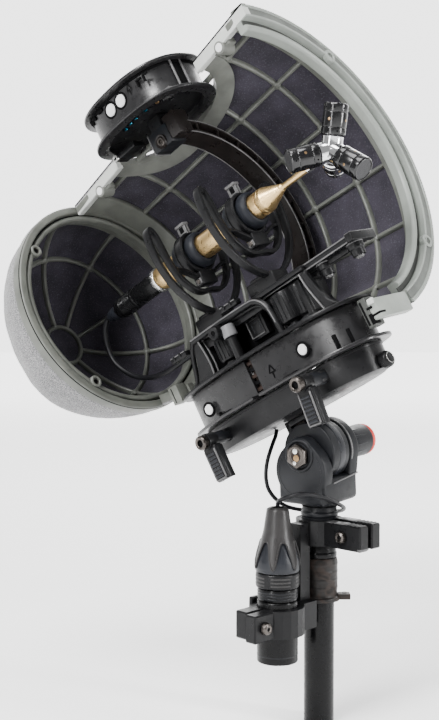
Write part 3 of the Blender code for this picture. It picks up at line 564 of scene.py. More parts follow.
def face_outwards(mesh, weld=0.0):
    """Turns every face outwards, once points nearer than weld are joined."""
    shape = bmesh.new()
    shape.from_mesh(mesh)
    if weld:
        bmesh.ops.remove_doubles(shape, verts=shape.verts, dist=weld)
    bmesh.ops.recalc_face_normals(shape, faces=shape.faces)
    shape.to_mesh(mesh)
    shape.free()


def shade_smoothly(mesh, angle):
    """Smooth shading, broken at edges sharper than angle, in degrees."""
    mesh.shade_smooth()
    mesh.set_sharp_from_angle(angle=radians(angle))


class Piece:
    """One visible piece: shapes collected in one frame, each with its own look."""

    def __init__(self, name, matrix, body, look="black_plastic"):
        self.name, self.matrix, self.body, self.look = name, matrix, body, look
        self.points, self.faces, self.marks, self.looks = [], [], [], []

    def add(self, shape, look=None, place=None):
        """A shape in a look, which is the piece's own unless it is named."""
        points, faces = shape
        look = look or self.look
        start = len(self.points)
        place = place or Matrix.Identity(4)
        self.points += [self.matrix @ place @ Vector(p) for p in points]
        self.faces += [[start + i for i in face] for face in faces]
        if look not in self.looks:
            self.looks.append(look)
        self.marks += [self.looks.index(look)] * len(faces)

    def box(self, low, high, edge=0.35, look=None, place=None, segments=2):
        """A box between two corners, its edges rounded."""
        self.add(block(low, high, edge, segments), look, place)

    def turn(self, profile, steps, soft=0.0, look=None, place=None):
        """A solid: a (radius, height) profile from the axis and back, turned about Z."""
        self.add(lathe(rounded(profile, soft, closed=False) if soft else profile, steps), look, place)

    def ring(self, profile, steps, soft=0.0, look=None, place=None):
        """A ring: a closed (radius, height) profile turned about Z."""
        self.add(lathe(rounded(profile, soft) if soft else profile, steps, closed=True), look, place)

    def rod(self, start, end, radius, sides=8, look=None, place=None):
        self.add(sweep([start, end], circle(radius, sides)), look, place)

    def mesh(self):
        mesh = bpy.data.meshes.new(self.name)
        mesh.from_pydata(self.points, [], self.faces)
        mesh.polygons.foreach_set("material_index", self.marks)
        face_outwards(mesh)
        for look in self.looks:
            mesh.materials.append(LOOKS[look])
        return mesh

    def build(self, *replaced, slot, bevel=0.0, sharp=38, ride=True):
        """Makes the object; it stands for the CAD nodes named. slot is not used."""
        mesh = self.mesh()
        shade_smoothly(mesh, sharp)
        made = bpy.data.objects.new(self.name, mesh)
        bpy.context.scene.collection.objects.link(made)
        if bevel:
            soften(made, bevel, sharp)
        if replaced:
            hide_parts(*replaced)
        if ride:
            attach(made, self.body)
        return made


def soften(obj, width, angle=38):
    """Rounds an object's sharp edges so that they catch the light."""
    edges = obj.modifiers.new("edges", "BEVEL")
    edges.width = width
    edges.segments = 2
    edges.limit_method = "ANGLE"
    edges.angle_limit = radians(angle)
    edges.harden_normals = False


def keep_node(name, look, bevel=0.00025, sharp=30):
    """A CAD node whose shape is right: it gets a finished look and soft edges."""
    node = NODES[name]
    node.data.materials.clear()
    node.data.materials.append(LOOKS[look])
    shade_smoothly(node.data, sharp)
    if bevel:
        soften(node, bevel, sharp)


def boolean(obj, operation, shape, matrix):
    """Takes a shape out of an object, or keeps only what is inside it, for good."""
    points, faces = shape
    mesh = bpy.data.meshes.new("tool")
    mesh.from_pydata([matrix @ Vector(p) for p in points], [], faces)
    face_outwards(mesh)
    tool = bpy.data.objects.new("tool", mesh)
    bpy.context.scene.collection.objects.link(tool)
    cut = obj.modifiers.new("cut", "BOOLEAN")
    cut.operation, cut.solver, cut.object = operation, "EXACT", tool
    bpy.context.view_layer.update()
    evaluated = obj.evaluated_get(bpy.context.evaluated_depsgraph_get())
    result = bpy.data.meshes.new_from_object(evaluated)
    obj.modifiers.remove(cut)
    obj.data = result
    bpy.data.objects.remove(tool)


# ---- windshield ---------------------------------------------------------------------------------
REAR_R = 67.6
FRONT_R = 90.3
RIM_X = 85.7
DOME_START = -94.0                 # the dome rises from here, behind the rear ring
DOME_REACH = 53.7
DOME_R = 66.6
SKIN = 1.2                         # the cloth's thickness
CLOTH_SHARP = 80
HOOP_X = (-46.6, 19.3, 50.4)
MERIDIANS = [180 / 7 * (k + 0.5) for k in range(7)]
HUB_X = 1.0                        # middle of the top hub
BASE_X = 8.0                       # middle of the base hub
TOP_HUB = (34.5, 25.0)
BASE_HUB = (62.0, 25.5)
RIB_SECTION = [(-1.5, -0.4), (-1.35, 0.9), (-0.95, 1.9), (-0.35, 2.35), (0.35, 2.35), (0.95, 1.9),
               (1.35, 0.9), (1.5, -0.4)]


def skin_radius(x):
    """Outer radius of the barrel's cloth."""
    return (REAR_R + FRONT_R) / 2 + (FRONT_R - REAR_R) / (2 * RIM_X) * x


def around(x, degrees, radius):
    """A point of the pod by X, angle from the top towards the far side, and radius."""
    a = radians(degrees)
    return Vector((x, radius * sin(a), radius * cos(a)))


def dome_point(a, degrees, inset=0.0):
    """A point of the dome: a runs from its rim, 0, to its pole, 90 degrees."""
    reach, radius = DOME_REACH - inset, DOME_R - inset
    return around(DOME_START - reach * sin(radians(a)), degrees, radius * cos(radians(a)))


CREASES = (                         # start, end, depth and width of each fold
    (dome_point(36, 241), dome_point(3, 237), 2.6, 2.0),
    (dome_point(30, 283), dome_point(7, 280), 0.8, 1.0),
)


def creases(point):
    """How deep the cloth sinks at a point of the dome: a long fold low down and a short one."""
    depth = 0.0
    for start, end, deep, width in CREASES:
        along = end - start
        t = max(0.0, min(1.0, (point - start).dot(along) / along.length_squared))
        away = (point - (start + along * t)).length
        fade = sin(pi * (0.9 * t + 0.05))
        groove = exp(-(away / width) ** 2)
        swell = exp(-((away - 2.2 * width) / width) ** 2)
        depth += deep * fade * (groove - 0.45 * swell)
    return depth


def dome_cloth():
    """The rear dome's cloth: pale outside, dark inside, a little uneven like a stretched knit."""
    piece = Piece("dome_cloth", POD, "windshield", "cloth_outer")
    rows, columns, last = 60, 200, 89.6
    rings = []
    for i in range(rows + 1):
        a = last * i / rows
        ring = []
        for k in range(columns):
            degrees = 360 * k / columns
            point = dome_point(a, degrees)
            normal = Vector((point.x - DOME_START, point.y, point.z)).normalized()
            rough = noise.noise(point * 0.11) * 0.35 + noise.noise(point * 0.35) * 0.12
            sag = 4.2 * exp(-((a - 40) / 24) ** 2 - ((degrees - 226) / 34) ** 2)
            ring.append(tuple(point + normal * (rough - 0.3 + sag - creases(point))))
        rings.append(ring)
    inner = [[tuple(dome_point(last * i / rows, 360 * k / columns, SKIN + 0.25))
              for k in range(columns)] for i in range(rows, -1, -1)]
    points, faces = loft(rings, caps=False)
    piece.add((points, faces + [tuple(range(rows * columns, (rows + 1) * columns))]))
    points, faces = loft(inner, caps=False)
    piece.add((points, faces + [tuple(range(columns))]), "cloth_inner")
    piece.add(loft([inner[-1], rings[0]], caps=False))
    made = piece.build("dome_skin", slot="fabric", sharp=CLOTH_SHARP)
    face_outwards(made.data, WELD)


def hub_column(size, spare, low, high, middle):
    """A column with a hub's outline and some room round it, with its frame."""
    outline = boat(size[0] + spare, size[1] + spare)
    return stack([(outline, low), (outline, high)]), POD @ at(middle)


def barrel_cloth():
    """The barrel's half skin, drawn in slightly between the lattice's bars."""
    piece = Piece("barrel_cloth", POD, "windshield", "cloth_outer")
    low, high, rows, columns = -RIM_X + 0.4, RIM_X - 9.4, 84, 126
    outer, inner = [], []
    for i in range(rows + 1):
        x = low + (high - low) * i / rows
        outer_ring, inner_ring = [], []
        for k in range(columns + 1):
            degrees = 0.25 + 179.5 * k / columns
            sag = 0.35 * sin(radians(degrees * 7)) ** 2
            grain = 0.15 * noise.noise(around(x, degrees, 80) * 0.2)
            outer_ring.append(tuple(around(x, degrees, skin_radius(x) - 0.15 - sag + grain)))
            inner_ring.append(tuple(around(x, degrees, skin_radius(x) - SKIN - sag)))
        outer.append(outer_ring)
        inner.append(inner_ring)
    piece.add(loft(outer, ring_closed=False, caps=False))
    piece.add(loft(inner, ring_closed=False, caps=False), "cloth_inner")
    for first, second in ((outer[0], inner[0]), (outer[-1], inner[-1]),
                          ([r[0] for r in outer], [r[0] for r in inner]),
                          ([r[-1] for r in outer], [r[-1] for r in inner])):
        piece.add(loft([first, second], ring_closed=False, caps=False))
    made = piece.build(slot="fabric", sharp=CLOTH_SHARP, ride=False)
    face_outwards(made.data, WELD)
    for size, low, high, middle in ((TOP_HUB, 40, 120, HUB_X), (BASE_HUB, -120, -40, BASE_X)):
        boolean(made, "DIFFERENCE", *hub_column(size, 6.3, low, high, middle))
    shade_smoothly(made.data, CLOTH_SHARP)
    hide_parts("barrel_skin")
    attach(made, "windshield")


def ring_path(x, radius, low, high, steps):
    return [around(x, low + (high - low) * k / steps, radius) for k in range(steps + 1)]


def rib_hoop(piece, x, radius, low, high, look, steps=72):
    """A rib across the pod's axis, its rounded side towards the axis."""
    path = ring_path(x, radius, low, high, steps)
    ups = [Vector((0, -p.y, -p.z)) for p in path]
    piece.add(sweep(path, RIB_SECTION, ups), look)


def rib_node(piece, point, inward, look, radius=2.7):
    """The rounded swelling where two ribs cross."""
    turn = inward.to_track_quat("Z", "Y").to_matrix().to_4x4()
    piece.add(ball(radius, 0.62, 18), look, Matrix.Translation(point + inward * 1.1) @ turn)


def barrel_ribs():
    """The barrel's moulded lattice: hoops, bars, end bands and a collar at each hub."""
    look = "olive_plastic"
    piece = Piece("barrel_ribs", POD, "windshield")
    depth = SKIN + 0.35
    for x in HOOP_X:
        rib_hoop(piece, x, skin_radius(x) - depth, 1.5, 178.5, look)
    for degrees in MERIDIANS:
        path = [around(x, degrees, skin_radius(x) - depth) for x in (-79, -40, 0, 40, 75)]
        piece.add(sweep(path, RIB_SECTION, [Vector((0, -p.y, -p.z)) for p in path]), look)
        for x in HOOP_X:
            centre = around(x, degrees, skin_radius(x) - depth)
            rib_node(piece, centre, Vector((0, -centre.y, -centre.z)).normalized(), look)
    for low, high in ((-RIM_X + 0.4, -71.5), (70.5, RIM_X - 9.4)):
        thick = 3.4
        profile = rounded([(skin_radius(low) - depth, low), (skin_radius(high) - depth, high),
                           (skin_radius(high) - depth - thick * 0.8, high),
                           (skin_radius((low + high) / 2) - depth - thick, (low + high) / 2),
                           (skin_radius(low) - depth - thick, low)], 0.6)
        piece.add(pod_arc(profile, 0.2, 179.8), look)
    piece.build("barrel_lattice", slot="olive_plastic")
    for name, size, room, middle, low, high in (
            ("collar_top", (52, 40), TOP_HUB, HUB_X, 40, 120),
            ("collar_base", (74, 40), BASE_HUB, BASE_X, -120, -40)):
        hub_collar(name, size, room, middle, low, high)


def hub_collar(name, size, room, middle, low, high):
    """A smooth plate of the lattice round a hub, following the cone."""
    piece = Piece(name, POD, "windshield", "collar_plastic")
    start, end = (0.3, 62) if low > 0 else (118, 179.7)
    profile = [(skin_radius(x) - inset, x) for x, inset in
               ((-80, 1.6), (80, 1.6), (80, 4.6), (-80, 4.6))]
    piece.add(pod_arc(profile, start, end, 80))
    made = piece.build(slot="olive_plastic", ride=False)
    boolean(made, "INTERSECT", *hub_column(size, 0, low, high, middle))
    boolean(made, "DIFFERENCE", *hub_column(room, 6.2, low - 1, high + 1, middle))
    shade_smoothly(made.data, 30)
    soften(made, 0.0003, 40)
    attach(made, "windshield")


DOME_HOOP = 37.0                   # where the dome's hoop sits, as an angle from its rim
DOME_HUB_R = 13.0
DOME_RIB_STEP = 40


def dome_ribs():
    """The dome's moulded lattice: nine ribs, a hoop, a ring round the pole and a rim band."""
    look = "olive_plastic"
    piece = Piece("dome_ribs", POD, "windshield")
    depth = SKIN + 0.45
    hub_angle = 90 - atan2(DOME_HUB_R, DOME_R) * 180 / pi * 1.04
    for k in range(9):
        degrees = -5 + DOME_RIB_STEP * k
        path = [dome_point(hub_angle + (3 - hub_angle) * j / 14, degrees, depth) for j in range(15)]
        ups = [Vector((DOME_START + 6, 0, 0)) - p for p in path]
        piece.add(sweep(path, RIB_SECTION, ups), look)
        centre = dome_point(DOME_HOOP, degrees, depth)
        rib_node(piece, centre, (Vector((DOME_START + 6, 0, 0)) - centre).normalized(), look)
    for angle in (DOME_HOOP, hub_angle):
        point = dome_point(angle, 0, depth)
        path = ring_path(point.x, point.z, 0, 360, 96)[:-1]
        ups = [Vector((DOME_START + 6, 0, 0)) - p for p in path]
        piece.add(sweep(path, RIB_SECTION, ups, cyclic=True), look)
    low, high = -RIM_X - 8.1, -RIM_X - 13.0
    inner = DOME_R - depth
    piece.add(pod_arc(rounded([(inner, low), (inner - 0.8, high), (inner - 3.4, high),
                               (inner - 3.0, low)], 0.5), 0, 360, 144), look)
    piece.build("dome_lattice", slot="olive_plastic")


def screw_boss(piece, x, degrees, radius, look, size=3.6):
    """A round boss on a rim's face, with a hexagon socket filled with painted shade."""
    place = Matrix.Translation(around(x, degrees, radius)) @ ALONG_X
    piece.turn([(0.01, -3.0), (size, -3.0), (size, -0.5), (size - 0.5, 0.0), (2.3, 0.0), (2.0, -0.3),
                (2.0, -1.2), (0.01, -1.2)], 32, look=look, place=place)
    piece.add(stack([(circle(1.5, 6), -1.3), (circle(1.5, 6), -1.05)]), "painted_shade_black", place)
    piece.ring([(1.5, -1.15), (2.0, -1.15), (2.0, -1.0), (1.75, -0.85), (1.5, -1.0)], 24, look="steel",
               place=place)


def rear_ring():
    """The full ring that carries the dome: a flat flange, a groove darkened with painted shade and a
    rounded inner lip.
    """
    ring = Piece("rear_ring_detail", POD, "windshield", "painted_shade_black")
    x = -RIM_X
    outer = [(REAR_R - 0.5, x - 8), (REAR_R - 6, x - 8), (REAR_R - 8.9, x - 6.4),
             (REAR_R - 8.9, x - 2.2), (REAR_R - 8.1, x - 1.3), (REAR_R - 6.6, x - 1.1),
             (REAR_R - 5.8, x - 2.0), (REAR_R - 5.5, x - 3.2), (REAR_R - 4.7, x - 3.2),
             (REAR_R - 4.5, x - 0.4), (REAR_R - 4.0, x), (REAR_R - 0.7, x), (REAR_R, x - 0.7),
             (REAR_R, x - 7.4)]
    ring.add(pod_arc(rounded(outer, 0.35), 0, 360, 168), "olive_plastic")
    # painted shade: a near-black strip deep in the groove, and a thin line of painted shade round the outer
    # face
    ring.add(pod_arc([(REAR_R - 5.6, x - 2.9), (REAR_R - 4.6, x - 2.9), (REAR_R - 4.6, x - 3.3),
                      (REAR_R - 5.6, x - 3.3)], 0, 360, 168))
    ring.add(pod_arc([(REAR_R + 0.05, x - 0.9), (REAR_R + 0.05, x - 1.7), (REAR_R - 0.4, x - 1.7),
                      (REAR_R - 0.4, x - 0.9)], 0, 360, 168))
    for degrees in (-46, -137):
        screw_boss(ring, x + 0.35, degrees, REAR_R - 8.2, "olive_plastic")
    ring.build("rear_ring", slot="olive_plastic")


def front_rim():
    """The half rim at the open end, stepped and grooved."""
    low, high, steps = 0.3, 164.5, 150
    rim = Piece("front_rim_detail", POD, "windshield", "pale_plastic")
    x, r = RIM_X, FRONT_R
    profile = [(r, x - 8.8), (r - 13.6, x - 8.8), (r - 14.0, x - 8.4), (r - 14.0, x - 4.0),
               (r - 13.4, x - 2.8), (r - 12.4, x - 2.2), (r - 11.4, x - 2.4), (r - 10.7, x - 3.4),
               (r - 10.5, x - 4.8), (r - 7.6, x - 4.8), (r - 7.4, x - 0.6), (r - 7.0, x),
               (r - 6.4, x), (r - 6.2, x - 0.7), (r - 2.0, x - 0.7), (r - 1.8, x), (r - 0.6, x),
               (r, x - 0.6)]
    rim.add(pod_arc(rounded(profile, 0.25), low, high, steps))
    rim.add(pod_arc([(r - 6.1, x - 0.62), (r - 2.1, x - 0.62), (r - 2.1, x - 0.9), (r - 6.1, x - 0.9)],
                    low, high, steps), "rim_shade")
    rim.add(pod_arc([(r - 10.6, x - 4.4), (r - 7.5, x - 4.4), (r - 7.5, x - 5.0), (r - 10.6, x - 5.0)],
                    low, high, steps), "shadow_plastic")
    rim.add(pod_arc(rounded([(r + 0.12, x - 0.5), (r + 0.12, x - 8.2), (r - 0.5, x - 8.2),
                             (r - 0.5, x - 0.5)], 0.1), low, high, steps), "painted_shade_black")
    for degrees in (44, 131):
        screw_boss(rim, x + 0.2, degrees, r - 5.6, "pale_plastic", 3.8)
    rim.build("front_rim", slot="pale_plastic")


def edge_outline(low, high, outer, inner_low, inner_high, side=1):
    """A strip of the cone's cut edge between X low and high; depths are below the cone's surface."""
    return [(x, side * (skin_radius(x) - under)) for x, under in
            ((low, outer), (high, outer), (high, inner_high), (low, inner_low))]


def edge_strips():
    """The windshield's cut edges, where the missing half closes against it."""
    piece = Piece("edge_strips", POD, "windshield", "collar_plastic")
    for low, high in ((-RIM_X + 0.4, -39.6), (41.6, RIM_X - 0.2)):
        piece.add(prism(edge_outline(low, high, 0.5, 6.6, 6.9), 0.35, 4.6, 0.4), "white_plastic",
                  UPRIGHT)
        piece.add(prism(edge_outline(low, high, -0.1, 0.7, 0.7), 0.25, 4.0, 0.1), "painted_shade_black", UPRIGHT)
    piece.add(prism(edge_outline(-RIM_X + 0.4, -60, 0.5, 6.6, 6.6, -1), 0.35, 4.6, 0.4),
              "olive_plastic", UPRIGHT)
    for x in (-61.2, 61.1):
        z = skin_radius(x) - 6.9
        boss = Matrix.Translation((x, 0, z)) @ ALONG_Y
        piece.turn([(0.01, 0.3), (3.3, 0.3), (3.7, 0.7), (3.7, 9.6), (3.2, 10.2), (0.01, 10.2)], 32,
                   place=boss)
        piece.turn([(0.01, 0.0), (2.1, 0.0), (2.5, 0.4), (0.01, 0.4)], 28, look="magnet", place=boss)
        piece.box((x - 6.5, 2.6, z - 1.0), (x + 6.5, 8.4, z + 2.6), 0.8)
    piece.build(slot="pale_plastic")


def latches():
    """The two blocks that catch on the base hub."""
    front = Piece("front_latch", POD, "windshield", "painted_shade_black")
    front.box((75.4, -8.7, -93.0), (80.4, -0.5, -77.6), 0.6, "shadow_plastic")
    front.box((79.4, -8.3, -90.6), (85.2, 21.4, -80.2), 0.8, "pale_plastic")
    # thin slots of painted shade across the latch's near face
    front.box((76.2, -8.95, -91.6), (77.4, -4.0, -79.0), 0.2)
    front.box((78.6, -8.95, -92.0), (80.7, -4.0, -86.6), 0.2)
    front.box((79.0, -8.95, -84.4), (82.4, -4.0, -83.2), 0.2)
    front.box((80.6, -8.5, -88.6), (85.3, -3.0, -87.4), 0.2)
    front.box((81.0, -9.0, -82.6), (84.6, -7.0, -79.6), 0.5, "white_plastic")
    front.build("latch_block_front", slot="pale_plastic")
    rear = Piece("rear_latch", POD, "windshield", "olive_plastic")
    rear.box((-68.9, -7.9, -73.4), (-61.3, -0.2, -62.6), 0.6)
    # a slot of painted shade
    rear.box((-66.6, -8.05, -72.6), (-65.9, -2.0, -63.4), 0.1, "painted_shade_black")
    rear.build("latch_block_rear", slot="pale_plastic")


# ---- hubs and arm -------------------------------------------------------------------------------
def magnet(piece, x, y, z, radius):
    """A bright disc in a ring of painted shade, set in a wall that faces the near side."""
    place = Matrix.Translation((x, y, z)) @ ALONG_Y
    piece.turn([(0.01, -0.55), (radius - 0.9, -0.55), (radius - 0.35, -0.35), (radius, 0.3),
                (0.01, 0.3)], 36, look="magnet", place=place)
    piece.ring([(radius - 0.1, -0.05), (radius + 0.7, -0.35), (radius + 1.2, 0.0), (radius + 1.2, 0.6),
                (radius - 0.1, 0.6)], 36, look="painted_shade_black", place=place)


def arrow_mark(piece, x, y, z, size):
    """A plain arrow pressed into the wall, its strokes in painted shade: an open triangle over a short bar.
    """
    stroke = 0.22 * size / 3
    corners = [Vector((x - size * 0.5, y, z)), Vector((x, y, z + size)), Vector((x + size * 0.5, y, z))]
    section = [(-stroke, -0.1), (stroke, -0.1), (stroke, 0.12), (-stroke, 0.12)]
    for first, second in ((0, 1), (1, 2), (0, 2)):
        piece.add(sweep([corners[first], corners[second]], section, [(0, -1, 0)] * 2), "painted_shade_black")
    piece.add(sweep([Vector((x, y, z)), Vector((x, y, z - size * 0.8))], section, [(0, -1, 0)] * 2),
              "painted_shade_black")


TOP_HUB_Z = (71.2, 91.5)
BASE_HUB_Z = (-97.4, -76.3)
SEAM = 9.5 - BASE_X                # middle of the gap between the base's two walls
HALF_SEAM = 2.3


def hub_y(size, x):
    """Half the width of a hub's outline at x."""
    return size[1] * (1 - abs(x / size[0]) ** 2.5) ** 0.4


def top_hub():
    """The top hub's wall: two lips, pressed marks in painted shade, magnets and an open slot at the front
    end.
    """
    low, high = TOP_HUB_Z
    hub = Piece("top_hub_shell", POD, "head", "painted_shade_black")
    place = at(HUB_X)
    lip = 4.8
    outline = boat(*TOP_HUB)
    wall = rounded([(0, low + 1.8), (0, high - 1.8), (lip, high - 1.8), (lip, high), (-2.4, high),
                    (-2.4, low), (lip, low), (lip, low + 1.8)], 0.55)
    hub.add(band(outline, wall), "wall_plastic", place)
    hub.add(prism(offset(outline, -1.2), low + 3.0, low + 5.4, 0.3), "black_plastic", place)
    # painted shade in a band just under the top lip
    hub.add(band(outline, [(0.4, high - 3.1), (0.9, high - 2.7), (0.9, high - 1.7), (0.0, high - 1.7),
                           (0.0, high - 3.1)]), place=place)
    # notches and pressed marks, drawn in painted shade
    for x, width in ((-25.5, 3.4), (-20.5, 2.2), (-13.0, 4.5)):
        y = -hub_y(TOP_HUB, x)
        hub.box((x - width / 2, y - 1.4, high - 4.6), (x + width / 2, y + 0.8, high - 1.6), 0.3,
                place=place)
    for x in (19.5, 25.0):
        hub.box((x - 0.6, -24.8, high - 6.2), (x + 3.4, -23.2, high - 5.2), 0.2, place=place)
        hub.box((x - 0.6, -24.8, high - 9.2), (x + 0.4, -23.2, high - 5.4), 0.2, place=place)
    for x in (-4.2, 5.0):
        magnet(hub, x, -25.0, 83.6, 3.7)
    arrow_mark(hub, 14.0, -25.0, 84.6, 3.6)
    # the open slot at the front end, filled with painted shade
    end = [(32.6, -10.0), (34.7, -7.5), (34.7, -3.0), (33.5, -3.0), (33.5, -7.0), (31.8, -9.4)]
    hub.add(stack([(end, low + 3.5), (end, high - 1.0)]), place=place)
    # painted highlight rods along the slot's edges
    hub.rod((34.2, -9.4, low + 2.5), (34.2, -9.4, high + 0.2), 0.7, 10, "grey_and_painted_highlight", place)
    hub.rod((35.3, -2.6, low + 2.5), (35.3, -2.6, high + 0.2), 0.7, 10, "grey_and_painted_highlight", place)
    hub.build("top_hub_wall", slot="black_plastic", bevel=0.00015)


def top_lid():
    high = TOP_HUB_Z[1]
    place = at(HUB_X)
    lid = Piece("top_hub_cover", POD, "head")
    lid.add(prism(boat(TOP_HUB[0] - 2.7, TOP_HUB[1] - 2.7), high - 4.5, high - 2.0, 0.5), place=place)
    for x in (-24, 24):
        lid.turn([(0.01, 0.0), (2.3, 0.0), (2.6, -0.4), (2.6, -2.0), (0.01, -2.0)], 24, look="steel",
                 place=place @ at(x, 0, high - 1.2))
    for y in (-12, 0, 12):
        lid.box((-16, y - 0.8, high - 2.2), (16, y + 0.8, high - 1.3), 0.3, place=place)
    lid.build("top_hub_lid", slot="black_plastic")


def hub_contacts():
    """The contact studs and the plug on the top hub's inner face."""
    studs = Piece("hub_contacts", POD, "head", "painted_shade_black")
    for x, look in ((-8.7, "blue_stud"), (-3.2, "blue_stud"), (2.3, "blue_stud"),
                    (10.6, "blue_stud"), (18.5, "brass"), (22.6, "silver")):
        y = -16.5 + 0.045 * (x - 3) ** 2 * 0.3
        studs.turn([(0.01, 73.2), (1.05, 73.4), (1.2, 73.9), (1.2, 76.0), (0.01, 76.0)], 20, look=look,
                   place=at(x, y, 0))
        # a ring of painted shade round each stud
        studs.ring([(1.2, 73.9), (2.2, 73.9), (2.2, 75.6), (1.2, 75.6)], 20, place=at(x, y, 0))
    studs.box((23.5, -17.5, 72.4), (33.5, -9.0, 74.6), 0.5, "grey_and_painted_highlight")
    # painted shade in the plug's slots
    for k in range(4):
        studs.box((24.6 + 2.1 * k, -17.7, 72.2), (25.5 + 2.1 * k, -9.4, 72.6), 0.1)
    studs.build(slot="black_plastic")


def wall_half(outline, side):
    """One half of the base's outline, from its seam end to its seam end, in order."""
    count = len(outline)
    first = count // 2 if side > 0 else 0
    turned = [outline[(first + k) % count] for k in range(count)]
    x = SEAM + side * HALF_SEAM
    y = side * hub_y(BASE_HUB, x)
    return [(x, -y), *(p for p in turned if (p[0] - SEAM) * side > HALF_SEAM), (x, y)]


def base_walls():
    """The base hub's two walls, either side of the seam, with their magnets and pressed marks drawn in
    painted shade.
    """
    low, high = BASE_HUB_Z
    wall = rounded([(0, low + 1.8), (0, high), (-2.4, high), (-2.4, low), (5.5, low),
                    (5.5, low + 1.8)], 0.5)
    for name, side in (("rear", -1), ("front", 1)):
        shell = Piece("base_shell_" + name, POD, "head", "painted_shade_black")
        shell.add(band(wall_half(boat(*BASE_HUB), side), wall, cyclic=False), "wall_plastic",
                  at(BASE_X))
        if side < 0:
            magnet(shell, -29.6, -24.9, -88.6, 3.0)
            shell.box((-23.0, -26.6, -95.6), (-14.0, -24.0, -94.5), 0.2)
            shell.box((-23.0, -26.6, -95.4), (-22.1, -24.0, -93.0), 0.2)
        else:
            magnet(shell, 44.7, -24.35, -87.0, 3.0)
            arrow_mark(shell, 22.0, -25.55, -89.0, 4.0)
            for x in (28.0, 33.5):
                shell.box((x, -27.0, -95.6), (x + 4.0, -24.0, -94.7), 0.2)
            for x, y in ((60.5, -17.3), (66.0, -11.5)):
                shell.box((x - 0.7, y - 1.4, -95.2), (x + 0.7, y + 1.2, -87.4), 0.3)
        shell.build("base_wall_" + name, slot="black_plastic")


def base_deck():
    """The deck on the base hub, and what shows through the seam between the walls."""
    low, high = BASE_HUB_Z
    place = at(BASE_X)
    deck = Piece("deck", POD, "head")
    deck.add(prism(boat(BASE_HUB[0] + 4.5, BASE_HUB[1] + 4.0), high + 0.3, high + 2.3, 0.6),
             place=place)
    deck.build("base_deck", slot="black_plastic")

    inside = Piece("seam_inside", POD, "head", "brown_dark")
    inner = sorted(p for p in offset(boat(*BASE_HUB), -2.8) if abs(p[0] - SEAM) < 5 and p[1] < 0)
    inside.add(band(inner, [(0, low + 1.2), (0, high - 0.2), (-1.4, high - 0.2), (-1.4, low + 1.2)],
                    cyclic=False), place=place)
    # blocks behind the seam, every other one in painted shade
    for k in range(5):
        z = low + 3.4 + 3.6 * k
        inside.box((SEAM - 2.1, -BASE_HUB[1] + 0.9, z), (SEAM + 2.1, -BASE_HUB[1] + 2.9, z + 1.9), 0.3,
                   "painted_shade_black" if k % 2 else "brown_dark", place)
    inside.build("seam_band", slot="worn_metal")


def base_cap():
    """The domed cap below the base hub, with a boss and a bracket for each lever's bolt."""
    low = BASE_HUB_Z[0]
    place = at(BASE_X)
    cap = Piece("cap_shell", POD, "head")
    layers = []
    for share, z in ((1.0, 0.0), (0.999, 1.5), (0.97, 6.0), (0.86, 11.0), (0.62, 14.0), (0.40, 14.8)):
        side = 0.82 + 0.18 * share
        end = 0.95 + 0.05 * share
        inward = 0.9 + 0.1 * min(1, share * 1.6)
        layers.append(([(x * end * inward, y * side * inward)
                        for x, y in boat(BASE_HUB[0] - 1, BASE_HUB[1] - 1)], low - 0.3 - z))
    cap.add(stack(layers), place=place)
    bead = rounded([(0.35, -1.6), (0.35, -0.2), (-1.0, -0.2), (-1.0, -1.6)], 0.2)
    cap.add(band(boat(BASE_HUB[0] - 0.8, BASE_HUB[1] - 0.8), bead), place=place @ at(0, 0, low - 0.3))
    for x, z in (lever[1:3] for lever in LEVERS):
        boss = at(x, -20.5, z, ALONG_Y)
        cap.turn([(0.01, -12.0), (2.1, -12.0), (2.1, -13.0), (3.6, -13.0), (3.6, 0), (0.01, 0)], 32,
                 0.4, "grey_plastic", boss)
        cap.box((x - 3.2, -25.5, z - 3.0), (x + 3.2, -17.0, z + 3.4), 0.8)
    cap.build("base_cap", slot="black_plastic")


def end_knob():
    knob = Piece("hub_end_knob", POD, "hub_knob")
    spot = at(BASE_X + BASE_HUB[0] - 2.0, 0, -108.8, ALONG_X)
    knob.turn([(0.01, 0.0), (3.0, 0.0), (4.2, 1.0), (4.2, 4.6), (3.2, 5.8), (0.01, 5.8)], 32, 0.3,
              place=spot)
    knob.ring([(2.0, 5.6), (2.9, 5.85), (3.0, 5.6), (2.4, 5.4)], 28, look="silver", place=spot)
    for k in range(10):
        knob.box((3.8, -0.45, 1.4), (4.35, 0.45, 4.4), 0.15, place=spot @ spin(36 * k, "Z"))
    knob.build("end_knob", slot="black_plastic")


LEVER_Y = -36.2
LEVERS = (("rear", -28.3, -105.0, 0.0), ("front", 45.9, -103.5, -0.107))   # name, X, Z, lean in radians


